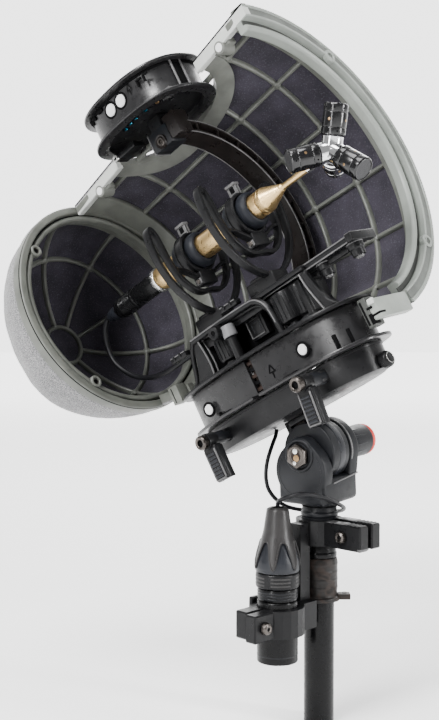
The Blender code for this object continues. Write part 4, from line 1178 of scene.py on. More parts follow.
def levers():
    """Each lock lever: a ribbed grip on a barrel, turning on a socket-head bolt."""
    for name, x, z, lean in LEVERS:
        lever = Piece("lever_" + name, POD, name + "_lever")
        place = at(x, LEVER_Y, z, spin(-lean * 180 / pi, "Y"))
        lever.box((-4.7, -2.9, -22.3), (4.7, 2.9, -3.0), 1.1, place=place, segments=3)
        lever.box((-5.0, -1.2, -22.4), (-4.2, 3.0, -4.0), 0.35, place=place)
        lever.box((4.2, -1.2, -22.4), (5.0, 3.0, -4.0), 0.35, place=place)
        for k in range(7):
            ridge = -7.4 - 2.05 * k
            lever.rod((-2.9, -3.0, ridge), (2.9, -3.0, ridge), 0.6, 10, "slate_plastic", place)
        # painted highlight lines along the grip's edges
        for side in (-1, 1):
            lever.rod((3.7 * side, -2.9, -5.0), (3.7 * side, -2.9, -21.2), 0.5, 10, "grey_and_painted_highlight",
                      place)
        lever.rod((-3.7, -2.8, -21.4), (3.7, -2.8, -21.4), 0.45, 10, "grey_and_painted_highlight", place)
        lever.ring([(4.2, -3.5), (4.2, 3.5), (2.05, 3.5), (2.05, -3.5)], 40, 0.5,
                   place=at(x, LEVER_Y, z, ALONG_Y))
        lever.build("lock_lever_" + name, slot="black_plastic")

        bolt = Piece("bolt_" + name, POD, "head", "steel")
        spot = at(x, LEVER_Y - 7.5, z, ALONG_Y)
        bolt.turn([(2.0, 1.9), (1.95, 0.25), (2.2, 0.0), (3.3, 0.0), (3.8, 0.5), (3.8, 3.4), (1.6, 3.6),
                   (1.6, 17.9), (0.01, 17.9), (0.01, 1.9)], 40, place=spot)
        bolt.ring([(2.1, 0.05), (2.3, -0.1), (3.2, -0.1), (3.4, 0.15)], 40, place=spot)
        # the hexagon socket, filled with painted shade
        bolt.add(stack([(circle(1.95, 6), 1.2), (circle(1.95, 6), 1.85)]), "painted_shade_black", spot)
        for k in range(20):
            bolt.box((3.7, -0.22, 0.8), (3.92, 0.22, 3.2), 0.08, place=spot @ spin(18 * k, "Z"))
        bolt.build("lever_bolt_" + name, slot="steel")


ARM_X = (4.5, 18.5)                # the beam's two sides
ARM_R = (59.0, 66.0)               # and its two flanges' radii
ARM_Z = -3.0                       # middle of its arc


def c_arm():
    """The arm: an I-beam bent to a C, ribbed between its flanges, with a clamp block at the top."""
    arm = Piece("arm_beam", POD, "head", "arm_metal")
    place = at(0, 0, ARM_Z)
    low, high = 4.0, 156.5
    arm.add(pod_arc(rounded([(ARM_R[0], ARM_X[0]), (ARM_R[0] + 1.4, ARM_X[0]),
                             (ARM_R[0] + 1.4, ARM_X[1]), (ARM_R[0], ARM_X[1])], 0.45), low, high),
            place=place)
    arm.add(pod_arc(rounded([(ARM_R[1] - 1.4, ARM_X[0]), (ARM_R[1], ARM_X[0]), (ARM_R[1], ARM_X[1]),
                             (ARM_R[1] - 1.4, ARM_X[1])], 0.45), low, high), place=place)
    # painted shade: a near-black strip down the web, deep between the flanges
    arm.add(pod_arc([(ARM_R[0] + 1, 11.5), (ARM_R[1] - 1, 11.5), (ARM_R[1] - 1, 13.2),
                     (ARM_R[0] + 1, 13.2)], low, high), "painted_shade_black", place)
    for k in range(11):
        degrees = 10 + 14 * k
        if degrees < high:
            rib = place @ spin(-degrees, "X")
            arm.box((ARM_X[0] + 0.3, -0.9, ARM_R[0] + 0.7), (ARM_X[1] - 0.4, 0.9, ARM_R[1] - 0.7), 0.25,
                    place=rib)
    # painted highlight lines along the flanges' edges
    for radius in (ARM_R[0] + 0.1, ARM_R[1] - 0.1):
        for x in (ARM_X[0] + 0.35, ARM_X[1] - 0.35):
            arm.add(pod_arc(circle(0.38, 8, radius, x), low, high), "grey_and_painted_highlight", place)
    arm.box((-4.8, -5.8, 54.2), (11.0, 6.6, 66.5), 1.2, "grey_plastic")
    arm.box((-1.8, -4.6, 64.0), (7.6, 5.6, 74.0), 0.9, "black_plastic")
    arm.box((-4.9, -5.95, 54.0), (-3.9, 6.7, 66.6), 0.4, "grey_and_painted_highlight")
    arm.box((9.0, -5.0, 55.6), (18.4, 6.8, 70.0), 1.0)
    arm.box((4.6, 21.6, -73.6), (18.4, 27.4, -55.0), 0.8)
    arm.box((4.6, 23.6, -62.0), (18.4, 32.9, -55.8), 0.9)
    arm.build("c_arm", slot="black_metal")


def arm_screws():
    """The clamp's screw with its washer, and the hub's small screw with its block."""
    screws = Piece("arm_screws", POD, "head")
    screws.turn([(0.01, 0.8), (0.9, 0.8), (1.1, 0.0), (2.3, 0.0), (2.8, 0.5), (2.8, 1.8), (0.01, 1.8)],
                32, look="steel", place=at(3.6, -7.1, 58.2, ALONG_Y))
    screws.ring([(2.9, 0.4), (3.9, 0.2), (4.1, 0.6), (4.1, 1.8), (2.9, 1.8)], 32, look="arm_metal",
                place=at(3.6, -7.1, 58.2, ALONG_Y))
    screws.ring([(0.9, 0.3), (1.2, 0.0), (2.0, 0.0), (2.2, 0.3), (2.2, 2.2), (0.9, 2.2)], 28,
                look="silver", place=at(-32.5, -7.0, 69.2, ALONG_Y))
    # the small screw's socket, in painted shade
    screws.turn([(0.01, 0.9), (1.0, 0.9), (1.0, 2.0), (0.01, 2.0)], 20, look="painted_shade_black",
                place=at(-32.5, -7.0, 69.2, ALONG_Y))
    screws.box((-34.5, -5.6, 67.5), (-16.0, 4.0, 71.0), 0.8)
    screws.build(slot="steel")


# ---- pedestal, rail and suspension ----------------------------------------------------------------
RAIL_TOP = -47.0
RAIL_LOW = -50.5
DECK_TOP = -74.0
MIC_Z = -4.0
LYRE_X = {"rear": -14.0, "front": 30.0}


PEDESTAL_FLOOR = DECK_TOP + 0.3


def pedestal():
    """The moulded stand on the deck: flared webs, a recess with a square socket, and round posts."""
    part = Piece("pedestal", POD, "head")
    pedestal_walls(part)
    pedestal_ribs(part)
    pedestal_socket(part)
    pedestal_posts(part)
    part.build("saddle", slot="black_plastic")


def pedestal_walls(part):
    """The far web, the near side's two flared feet, and the plates that join them."""
    floor = PEDESTAL_FLOOR
    top = RAIL_LOW - 4.9
    web = [(-40.0, floor), (-36.5, floor + 3.0), (-34.0, floor + 9.0), (-33.0, top), (48.0, top),
           (49.5, floor + 9.0), (53.0, floor + 3.0), (57.0, floor)]
    part.add(prism(rounded(web, 1.6, steps=5), 10.1, 13.1, 0.35), place=UPRIGHT)
    rear_foot = [(-27.0, top + 5.0), (-33.0, top + 6.0), (-34.5, -60.0), (-38.0, -68.5),
                 (-44.0, floor), (-26.0, floor), (-25.0, -66.0), (-25.6, -58.0)]
    front_foot = [(54.5, -51.0), (58.0, -50.4), (60.3, -60.0), (63.6, -69.0), (68.0, floor),
                  (60.0, floor), (57.6, -66.0), (55.4, -58.0)]
    for foot in (rear_foot, front_foot):
        part.add(prism(rounded(foot, 1.8, steps=5), -13.2, -9.6, 0.6), place=UPRIGHT)
        # painted highlight lines along the foot's edges
        for y in (-13.4, -9.4):
            line = [Vector((x, y, z)) for x, z in (foot[0], foot[-1], foot[-2], foot[-3])]
            part.add(sweep(smooth_path(line, 5), circle(0.55, 8)), "grey_and_painted_highlight")
    for x, z, tall in ((50.0, -58.0, 12.0), (-30.0, -60.0, 11.0)):
        part.box((x - 0.8, -8.0, z - tall), (x + 0.8, 11.0, z + 4.0), 0.5)
    part.box((-33.0, -13.3, RAIL_LOW + 0.7), (57.5, -9.6, RAIL_TOP - 0.2), 0.6)
    part.box((-33.0, 10.0, top - 0.2), (48.0, 13.2, RAIL_TOP + 0.3), 0.5)
    for low, high, roof in ((-33.0, -25.5, top - 0.4), (28.6, 31.6, top + 3.4), (47.0, 50.0, top + 3.4)):
        part.box((low, -9.8, floor), (high, 11.8, roof), 0.6)
    part.box((-20.0, -9.8, top + 0.6), (50.0, 11.8, top + 3.6), 0.4)
    for low, high in ((-9.8, -5.4), (5.4, 11.8)):  # the cable anchor slides between these two
        part.box((-33.0, low, top - 1.0), (-19.0, high, top + 3.6), 0.4)
    # a near-black block deep in the recess, as painted shade
    part.box((-22.0, 0.0, floor), (48.0, 11.8, top + 1.0), 0.3, "painted_shade_black")


def pedestal_ribs(part):
    """The rounded beads along the near side: an arch at the front and a flare at the back."""
    floor = PEDESTAL_FLOOR
    arch = smooth_path([(-31.0, -13.0, RAIL_LOW + 1.2), (-10.0, -13.2, RAIL_LOW + 1.6),
                        (14.0, -13.2, RAIL_LOW + 1.5), (21.6, -13.2, RAIL_LOW + 0.6),
                        (26.4, -13.2, RAIL_LOW - 3.4), (28.6, -13.2, RAIL_LOW - 10.0),
                        (29.6, -13.0, floor + 0.6)], 8)
    part.add(sweep(arch, circle(1.9, 14)))
    # a painted highlight line along the arch
    part.add(sweep([p + Vector((0, -1.5, 0.9)) for p in arch[:-4]], circle(0.5, 8)), "grey_and_painted_highlight")
    part.add(sweep([p + Vector((-2.6, 3.6, -1.6)) for p in arch[8:]], circle(1.4, 12)))
    rear_rib = smooth_path([(-45.0, -12.6, floor + 0.6), (-40.0, -12.9, floor + 3.6),
                            (-35.0, -13.1, RAIL_LOW - 5.4), (-31.0, -13.0, RAIL_LOW + 1.2)], 6)
    part.add(sweep(rear_rib, circle(1.4, 12)))


def pedestal_socket(part):
    """A square socket in two steps, deep in the recess."""
    socket = at(8.6, -1.6, -60.0)
    part.box((-6.6, -3.6, -6.4), (6.6, 2.0, 6.4), 0.6, place=socket)
    for size, y, look in ((4.9, -4.2, "black_plastic"), (3.0, -3.8, "grey_plastic")):
        for low, high in (((-size, y, -size), (size, y + 0.9, -size + 0.7)),
                          ((-size, y, size - 0.7), (size, y + 0.9, size)),
                          ((-size, y, -size), (-size + 0.7, y + 0.9, size)),
                          ((size - 0.7, y, -size), (size, y + 0.9, size))):
            part.box(low, high, 0.2, look, socket)
    # painted highlight on the socket's lower and left edges
    part.box((-4.9, -4.5, -5.1), (4.9, -3.9, -4.5), 0.2, "grey_and_painted_highlight", socket)
    part.box((-5.3, -4.5, -5.1), (-4.7, -3.9, 4.9), 0.2, "grey_and_painted_highlight", socket)


def pedestal_posts(part):
    """A capped post in front, three ribbed ones behind it, and two small brackets."""
    floor = PEDESTAL_FLOOR
    post = at(-3.4, -13.2, 0)
    part.turn([(0.01, -52.2), (4.0, -52.2), (4.0, -58.6), (2.9, -59.4), (2.9, floor), (0.01, floor)],
              32, 0.5, place=post)
    # painted highlight round the cap's rim
    part.turn([(0.01, -52.0), (3.7, -52.0), (4.15, -52.5), (4.15, -58.4), (3.9, -58.8), (0.01, -58.8)],
              32, 0.3, "painted_highlight_edge", post)
    for x, y, size, high, foot in ((-12.6, -8.4, 6.6, -56.0, 4.2), (36.0, -7.6, 7.2, -52.6, 3.4),
                                   (44.2, -5.4, 5.2, -52.6, 4.0)):
        part.turn([(0.01, high), (size, high), (size, -68.6), (foot, -69.4), (foot, floor),
                   (0.01, floor)], 40, 0.6, place=at(x, y, 0))
        for k in range(6):
            rib = at(x, y, 0) @ spin(-130 + 22 * k, "Z")
            part.box((size - 0.3, -0.35, -67.6), (size + 0.45, 0.35, high - 1.2), 0.2, place=rib)
        part.ring([(foot, -71.6), (foot + 2.2, -71.6), (foot + 2.2, -70.8), (foot, -70.4)], 32,
                  look="grey_plastic", place=at(x, y, 0))
    for x, z in ((5.0, -44.2), (-43.5, -52.5)):
        part.box((x - 6.5, -15.6, z - 1.6), (x + 6.5, -11.0, z + 1.4), 0.5)
        # a painted highlight strip along the bracket's top edge
        part.box((x - 6.0, -15.9, z + 1.0), (x + 6.0, -15.2, z + 1.6), 0.2, "grey_and_painted_highlight")
        part.box((x - 3.6, -16.4, z - 0.7), (x - 2.2, -12.0, z + 1.8), 0.3)
        part.box((x + 1.6, -16.4, z - 0.7), (x + 3.0, -12.0, z + 1.8), 0.3)


def rail_lock():
    screw = Piece("rail_lock", POD, "rail_lock")
    spot = at(-8.0, -17.5, RAIL_LOW - 3.0, ALONG_Y)
    screw.turn([(1.5, -2.6), (1.5, -3.2), (2.0, -3.5), (3.1, -3.5), (3.6, -3.0), (3.6, 3.0), (3.2, 3.5),
                (0.01, 3.5), (0.01, -2.6)], 36, place=spot)
    # the hexagon socket, in painted shade
    screw.add(stack([(circle(1.5, 6), -2.9), (circle(1.5, 6), -2.55)]), "painted_shade_black", spot)
    for k in range(18):
        screw.box((3.45, -0.25, -2.4), (3.75, 0.25, 2.6), 0.1, place=spot @ spin(20 * k, "Z"))
    screw.build("rail_lock_screw", slot="steel")


def rail():
    """The suspension's rail: a slotted bar with painted highlight lines along its edges, an end block and
    two posts.
    """
    part = Piece("rail_bar", POD, "rail")
    low, high = RAIL_LOW, RAIL_TOP
    for y in (-6.2, 6.2):
        part.box((-33.0, y - 3.3, low), (87.0, y + 3.3, high), 0.6, segments=3)
        # painted highlight lines along each bar's top and bottom edges
        for z in (low + 0.3, high - 0.3):
            edge = y + (3.2 if y > 0 else -3.2)
            part.rod((-32.6, edge, z), (86.6, edge, z), 0.4, look="grey_and_painted_highlight")
    for x0, x1 in ((-33.0, -28.0), (-2.0, 1.0), (50.0, 56.0), (80.0, 86.4)):
        part.box((x0, -4.0, low + 0.3), (x1, 4.0, high - 0.25), 0.4)
    part.box((86.6, -10.5, low - 0.5), (91.2, 10.5, high + 0.7), 0.7, segments=3)
    # painted highlight on the end block's top
    part.box((86.9, -10.3, high + 0.4), (90.9, 10.3, high + 0.8), 0.2, "grey_and_painted_highlight")
    for x in (86.0, 64.5):
        part.turn([(0.01, high - 2.0), (4.4, high - 2.0), (4.4, low - 3.6), (3.6, low - 4.2),
                   (3.6, low - 7.4), (0.01, low - 7.4)], 36, 0.6, place=at(x, -3.5, 0))
        part.turn([(0.01, low - 8.4), (1.9, low - 8.4), (2.2, low - 8.0), (2.2, low - 7.0),
                   (0.01, low - 7.0)], 24, look="grey_and_painted_highlight", place=at(x, -3.5, 0))
        # painted highlight round each post's lower rim
        part.ring([(4.3, low - 1.0), (4.6, low - 0.8), (4.6, low - 0.2), (4.3, low)], 36,
                  look="grey_and_painted_highlight", place=at(x, -3.5, 0))
    part.box((66.0, -5.4, low - 3.2), (84.0, -2.4, low + 0.2), 0.6)
    part.build("rail", slot="black_plastic")


def cable_anchor():
    anchor = Piece("anchor", POD, "rail")
    anchor.box((-40.1, -3.9, -54.6), (-33.4, 3.9, -48.1), 0.7, segments=3)
    anchor.box((-38.0, -4.3, -55.0), (-35.8, 4.3, -47.7), 0.3, "painted_shade_black")
    anchor.ring([(1.7, 0.0), (2.6, 0.0), (2.4, -2.6), (1.7, -3.2)], 24, look="rubber",
                place=at(-40.2, 0, -51.2, ALONG_X))
    anchor.build("cable_anchor", slot="black_plastic")


# one side of a hoop, from the rail up and back down, as (Y, Z)
LYRE_LINE = ((0, -26.5), (-10.0, -26.2), (-19.0, -18.0), (-22.8, -6.0), (-23.8, 5.0), (-24.8, 10.5),
             (-27.0, 13.5), (-29.5, 11.5), (-30.8, 4.0), (-30.5, -8.0), (-26.5, -21.0),
             (-18.0, -32.0), (-8.0, -38.5), (0, -40.0))


def lyre(name):
    """One hoop mount: a springy hoop with a tip at each side, a clip band and a rubber sleeve."""
    x, body = LYRE_X[name], name + "_lyre"
    hoop_strand(name, x, body)
    hoop_clip(name, x, body)
    rubber_sleeve(name, x, body)


def hoop_strand(name, x, body):
    """The hoop, closed on itself, with its foot on the rail."""
    hoop = Piece("hoop_" + name, POD, body)
    left = [Vector((x, y, z)) for y, z in LYRE_LINE]
    right = [Vector((x, -y, z)) for y, z in reversed(LYRE_LINE[1:-1])]
    path = smooth_path(left + right, 8, closed=True)
    section = rounded([(-1.25, -2.3), (1.25, -2.3), (1.25, 2.3), (-1.25, 2.3)], 0.8)
    hoop.add(sweep(path, section, [Vector((1, 0, 0))] * len(path), cyclic=True))
    hoop.box((x - 15.9, -6.4, RAIL_TOP + 0.4), (x + 4.9, 6.4, -38.6), 0.9, segments=3)
    hoop.box((x - 13.5, -4.4, -38.8), (x - 5.5, 4.4, -36.8), 0.7)
    hoop.turn([(0.01, -38.2), (2.0, -38.2), (2.4, -38.7), (2.4, -40.0), (0.01, -40.0)], 24,
              look="steel", place=at(x - 10.0, 0, 2.0))
    for side in (-1, 1):
        hoop.box((x - 2.4, side * 28.0 - 1.5, 10.2), (x + 2.4, side * 28.0 + 1.5, 12.6), 0.7)
    hoop.build("lyre_" + name, slot="black_plastic", bevel=0.00015)


def hoop_clip(name, x, body):
    """The band round the sleeve, with its fingers above, its block below and two arms to the hoop."""
    clip = Piece("band_" + name, POD, body)
    place = at(x, 0, MIC_Z, ALONG_X)
    clip.ring([(10.75, -3.5), (10.75, 3.5), (12.2, 3.5), (12.2, -3.5)], 64, 0.4, place=place)
    for half in (-1, 1):
        clip.ring([(12.1, half * 2.6 - 0.35), (12.1, half * 2.6 + 0.35), (12.6, half * 2.6 + 0.35),
                   (12.6, half * 2.6 - 0.35)], 64, 0.15, place=place)
    for side in (-1, 1):
        clip.box((x - 3.4, side * 0.9 - 0.55, 7.0), (x + 3.4, side * 0.9 + 0.55, 14.4), 0.35,
                 "grey_and_painted_highlight")
        # slots of painted shade between the fingers
        clip.box((x - 1.5, side * 1.2 - 0.6, 9.6), (x + 1.5, side * 1.2 + 0.6, 12.9), 0.25, "painted_shade_black")
    clip.box((x - 3.6, -2.4, 13.2), (x + 3.6, 2.4, 15.0), 0.5, "grey_and_painted_highlight")
    clip.box((x - 3.4, -5.9, -23.4), (x + 3.4, 5.9, -15.4), 0.9, segments=3)
    clip.box((x - 2.2, -6.5, -22.4), (x + 2.2, -3.0, -19.0), 0.5, "grey_and_painted_highlight")
    clip.turn([(0.01, 0.0), (1.2, 0.0), (1.5, 0.4), (1.5, 2.0), (0.01, 2.0)], 20, look="steel",
              place=at(x, -7.0, -20.7, ALONG_Y))
    for side in (-1, 1):
        arm_path = smooth_path([(x, side * 5.4, -18.0), (x, side * 11.0, -15.0),
                                (x, side * 16.5, -12.5), (x, side * 21.8, -12.0)], 6)
        clip.add(sweep(arm_path, rounded([(-0.9, -2.2), (0.9, -2.2), (0.9, 2.2), (-0.9, 2.2)], 0.5),
                       [Vector((1, 0, 0))] * len(arm_path)))
    clip.build("clip_" + name, slot="black_plastic", bevel=0.00012)


def rubber_sleeve(name, x, body):
    """The soft sleeve that the microphone sits in, thicker at both ends."""
    place = at(x, 0, MIC_Z, ALONG_X)
    sleeve = Piece("grommet_" + name, POD, body, "rubber")
    sleeve.ring([(7.4, -9.5), (8.8, -9.5), (10.3, -7.2), (10.4, -4.2), (9.7, -3.6), (9.7, 3.6),
                 (10.4, 4.2), (10.3, 7.2), (8.8, 9.5), (7.4, 9.5)], 64, 0.8, place=place)
    for offset_x in (-8.6, 8.6):
        sleeve.ring([(7.3, offset_x - 0.5), (9.0, offset_x - 0.5), (9.0, offset_x + 0.5),
                     (7.3, offset_x + 0.5)], 64, place=place)
    sleeve.build("sleeve_" + name, slot="rubber")


# ---- microphone ---------------------------------------------------------------------------------
HEAD_X = 95.4                      # centre of the capsule mount
CAPSULE_R = 5.6
HIDDEN_CAPSULE = 4                 # the bright one, behind the stem


def microphone():
    """The body from its gland to the cone, turned about one axis."""
    axis = at(0, 0, MIC_Z, ALONG_X)
    gland = Piece("gland", POD, "microphone", "rubber")
    gland.turn([(0.01, -86.0), (4.2, -86.0), (4.2, -90.0), (3.4, -92.0), (2.5, -96.0), (0.01, -96.0)],
               40, 0.5, place=axis)
    for k in range(4):
        gland.ring([(2.5, -91.5 - k), (4.0 - 0.25 * k, -91.5 - k), (4.0 - 0.25 * k, -91.0 - k),
                    (2.5, -91.0 - k)], 40, place=axis)
    gland.build("mic_gland", slot="rubber")

    barrel = Piece("rear_barrel", POD, "microphone", "black_metal")
    barrel.turn([(0.01, -48.0), (6.2, -48.0), (6.2, -66.0), (6.0, -66.3), (6.0, -67.3), (6.2, -67.6),
                 (6.2, -82.0), (5.2, -85.7), (0.01, -85.7)], 56, 0.25, place=axis)
    for k in range(9):
        barrel.ring([(6.1, -69.5 - 1.2 * k), (6.32, -69.8 - 1.2 * k), (6.1, -70.1 - 1.2 * k)], 56,
                    place=axis)
    barrel.build("mic_barrel", slot="black_metal")

    ring = Piece("bright_ring", POD, "microphone", "silver")
    ring.turn([(0.01, -44.0), (6.8, -44.0), (7.2, -44.6), (7.2, -47.1), (6.8, -47.7), (0.01, -47.7)],
              56, 0.3, place=axis)
    ring.ring([(7.1, -45.6), (7.27, -45.75), (7.1, -45.95)], 56, look="chrome", place=axis)
    ring.build("mic_ring", slot="chrome")

    tube = Piece("gold_tube", POD, "microphone", "gold")
    tube.turn([(0.01, 44.0), (7.0, 44.0), (7.0, 25.0), (6.8, 24.7), (6.8, 23.9), (7.0, 23.6),
               (7.0, -36.0), (6.75, -36.4), (6.75, -37.0), (7.0, -37.4), (7.0, -43.0), (6.6, -43.7),
               (0.01, -43.7)], 64, 0.2, place=axis)
    for x in (18.4, 19.6, -24.0):
        tube.ring([(6.95, x), (7.06, x + 0.15), (7.06, x + 0.45), (6.95, x + 0.6)], 64,
                  look="brown_dark", place=axis)
    tube.build("mic_tube", slot="gold")

    cone = Piece("gold_cone", POD, "microphone", "gold")
    profile = [(0.01, 44.3), (6.95, 44.3), (7.0, 44.6), (7.0, 47.6), (6.6, 48.4), (4.9, 52.6),
               (3.4, 56.4), (2.5, 58.4), (2.3, 59.6), (1.75, 60.2), (1.7, 62.0), (1.7, 78.0),
               (0.01, 78.0)]
    cone.turn(profile, 64, 0.5, place=axis)
    cone.ring([(6.9, 45.4), (7.12, 45.6), (7.12, 46.1), (6.9, 46.3)], 64, place=axis)
    cone.build("mic_cone", slot="gold")


CLUSTER_SCALE = 1.13


def capsule_headings():
    """Four directions to the corners of a tetrahedron, twisted about the microphone's axis."""
    twist = radians(83)
    third, span = 1 / sqrt(3), sqrt(2 / 3)
    return [Vector(v) for v in ((third, span * cos(twist), span * sin(twist)),
                                (third, -span * cos(twist), -span * sin(twist)),
                                (-third, -span * sin(twist), span * cos(twist)),
                                (-third, span * sin(twist), -span * cos(twist)))]


def capsules():
    """Four small capsules on a polished four-legged mount, facing the corners of a tetrahedron."""
    centre = Vector((HEAD_X, 0, MIC_Z))
    grow = Matrix.Translation(centre) @ Matrix.Scale(CLUSTER_SCALE, 4)
    mount = Piece("mount", POD, "microphone", "chrome")
    mount.add(ball(5.0, 1.0, 40), place=grow)
    mount.turn([(0.01, 78.3), (2.6, 78.3), (2.6, 84.0), (2.9, 86.0), (3.8, 89.0), (4.6, 92.5),
                (0.01, 93.5)], 40, place=at(0, 0, MIC_Z, ALONG_X))
    headings = capsule_headings()
    for heading in headings:
        place = grow @ heading.to_track_quat("Z", "Y").to_matrix().to_4x4()
        mount.turn([(0.01, 0.0), (5.0, 1.6), (4.9, 3.4), (4.8, 4.8), (4.9, 6.2), (0.01, 6.2)], 40,
                   place=place)
    for first in range(4):
        for second in range(first + 1, 4):
            between = (headings[first] + headings[second]).normalized()
            web = [grow @ (headings[first] * 5.6), grow @ (between * 3.9), grow @ (headings[second] * 5.6)]
            path = smooth_path(web, 6)
            across = headings[first].cross(headings[second]).normalized()
            mount.add(sweep(path, [(-0.9, -3.2), (0.9, -3.2), (0.9, 3.2), (-0.9, 3.2)],
                            [across] * len(path)))
    mount.build("capsule_mount", slot="chrome", sharp=50)

    for number, heading in enumerate(headings, 1):
        body_look = "chrome" if number == HIDDEN_CAPSULE else "gloss_metal"
        capsule = Piece("capsule_body_%d" % number, POD, "microphone", "perforated")
        place = (grow @ Matrix.Translation(heading * 6.6)
                 @ heading.to_track_quat("Z", "Y").to_matrix().to_4x4())
        r = CAPSULE_R
        body = [(0.01, 0.0), (r - 0.7, 0.0), (r - 0.1, 0.5), (r - 0.1, 3.2), (r - 0.35, 3.45),
                (r - 0.1, 3.7), (r - 0.1, 9.9), (r - 0.35, 10.15), (r - 0.1, 10.4), (r - 0.1, 13.3),
                (r - 0.6, 13.95), (r - 0.9, 13.95), (r - 1.0, 13.5), (0.01, 13.5)]
        capsule.turn(body, 56, 0.12, body_look, place)
        capsule.turn([(0.01, 13.4), (r - 1.0, 13.4), (r - 1.0, 13.62), (0.01, 13.66)], 48, place=place)
        # brass screws round each capsule's middle, and small holes near both ends filled with painted shade
        for k in range(8):
            for z, twist, look, size in ((6.8, 0, "brass", 0.62), (1.9, 0, "painted_shade_black", 0.38),
                                         (11.9, 20, "painted_shade_black", 0.38)):
                if look == "brass" and k % 2:
                    continue
                spot = place @ spin(45 * k + twist, "Z") @ at(r - 0.12, 0, z, ALONG_X)
                capsule.turn([(0.01, -0.3), (size, -0.3), (size, 0.06), (0.01, 0.14)], 14, look=look,
                             place=spot)
        capsule.build("capsule_%d" % number, slot="black_metal")


# ---- swivel -------------------------------------------------------------------------------------
def hull_outline(circles, count=72):
    """The outline round several circles, each (x, y, radius)."""
    spots = [(x + r * cos(2 * pi * k / count), y + r * sin(2 * pi * k / count))
             for x, y, r in circles for k in range(count)]
    spots = sorted(set(spots))

    def chain(points):
        made = []
        for p in points:
            while len(made) >= 2:
                (ax, ay), (bx, by) = made[-2], made[-1]
                if (bx - ax) * (p[1] - ay) - (by - ay) * (p[0] - ax) > 1e-9:
                    break
                made.pop()
            made.append(p)
        return made[:-1]
    return chain(spots) + chain(spots[::-1])


def swivel_block():
    """The yoke block: a near and a far cheek on a square foot. Its outlines have X down, Y across."""
    near = BACK_ALONG_X
    base = Piece("swivel_body", SWIVEL, "swivel", "grey_plastic")
    cheek = hull_outline(((0, 0, 9.4), (9.0, 0, 15.9)))
    base.add(prism(cheek, 10.5, 18.4, 1.1), place=near)
    base.ring([(7.2, 18.1), (7.2, 19.2), (8.6, 19.2), (9.0, 18.1)], 56, 0.35, place=near)
    # a ring of painted shade round the bolt
    base.ring([(6.6, 17.9), (7.4, 17.9), (7.4, 18.75), (6.6, 18.55)], 56, look="painted_shade_black", place=near)
    base.ring([(13.1, 18.2), (13.5, 18.62), (13.9, 18.2)], 64, place=near @ at(9.0, 0, 0))
    far = hull_outline(((0, 0, 16.4), (8.0, 0, 15.5)))
    base.add(prism(far, -13.4, -5.4, 1.2), place=near)
    # painted highlight round the far cheek's rim
    base.ring([(16.2, -7.4), (16.6, -7.0), (16.6, -6.4), (16.2, -6.0)], 72, look="grey_and_painted_highlight",
              place=near)
    base.box((-18.2, -14.8, -26.4), (13.3, 14.8, -12.0), 2.6, segments=4)
    # a painted highlight line along the foot's near edge
    base.rod((-9.5, -14.9, -14.8), (13.0, -14.9, -12.6), 0.5, look="grey_and_painted_highlight")
    for y in (-9.5, 9.5):
        base.box((-9.0, y - 0.7, -25.2), (6.0, y + 0.7, -12.4), 0.4)
    base.build("swivel_base", slot="grey_plastic", bevel=0.0002)


def swivel_neck():
    """The collar between the block and the pole, and the drum between the cheeks."""
    neck = Piece("neck", WORLD, "swivel", "grey_plastic")
    neck.ring([(5.3, 96.1), (9.2, 96.1), (9.2, 110.2), (9.9, 110.8), (9.9, 112.6), (9.2, 113.2),
               (9.2, 121.5), (5.3, 121.5)], 56, 0.4)
    # grooves, drawn in painted shade
    for z in (111.0, 115.4, 117.2):
        neck.ring([(9.1, z), (9.55, z + 0.3), (9.55, z + 0.7), (9.1, z + 1.0)], 56, look="painted_shade_black")
    neck.build(slot="grey_plastic")
    drum = Piece("drum", SWIVEL, "head", "grey_plastic")
    drum.ring([(3.5, -9.9), (15.6, -9.9), (16.1, -9.4), (16.1, 4.2), (15.6, 4.7), (3.5, 4.7)], 84, 0.5,
              place=ALONG_X)
    drum.ring([(15.7, -4.4), (16.28, -4.0), (16.28, 0.6), (15.7, 1.0)], 84, 0.2, "slate_plastic",
              ALONG_X)
    drum.build("swivel_head", slot="grey_plastic")


def yoke():
    """The two stems that carry the base cap on the drum."""
    stem_top = 133.6 - 112.5 - 0.3
    stem = Piece("yoke", HEAD, "head")
    stem.box((-5.6, -4.2, 8.0), (5.6, 6.6, stem_top), 0.6, "brown_dark")
    for side in (-1, 1):
        stem.box((side * 7.6 - 1.9, -6.7, 6.0), (side * 7.6 + 1.9, 6.7, stem_top), 0.9, segments=3)
    stem.box((-9.4, -6.7, stem_top - 3.4), (9.4, 6.7, stem_top), 0.7)
    stem.box((-6.4, -6.2, 9.0), (6.4, -3.8, 11.4), 0.6)
    for x in (-3.2, 0.4):
        stem.turn([(0.01, 0.0), (1.2, 0.0), (1.4, 0.4), (1.4, 2.4), (0.01, 2.4)], 20, look="brass",
                  place=at(x, -5.6, stem_top - 6.4, ALONG_Y))
    # a near-black strip of painted shade in the gap beside the stem
    stem.box((3.4, -6.3, 11.8), (5.6, -4.0, stem_top - 3.0), 0.4, "painted_shade_black")
    stem.build(slot="grey_plastic", bevel=0.00015)


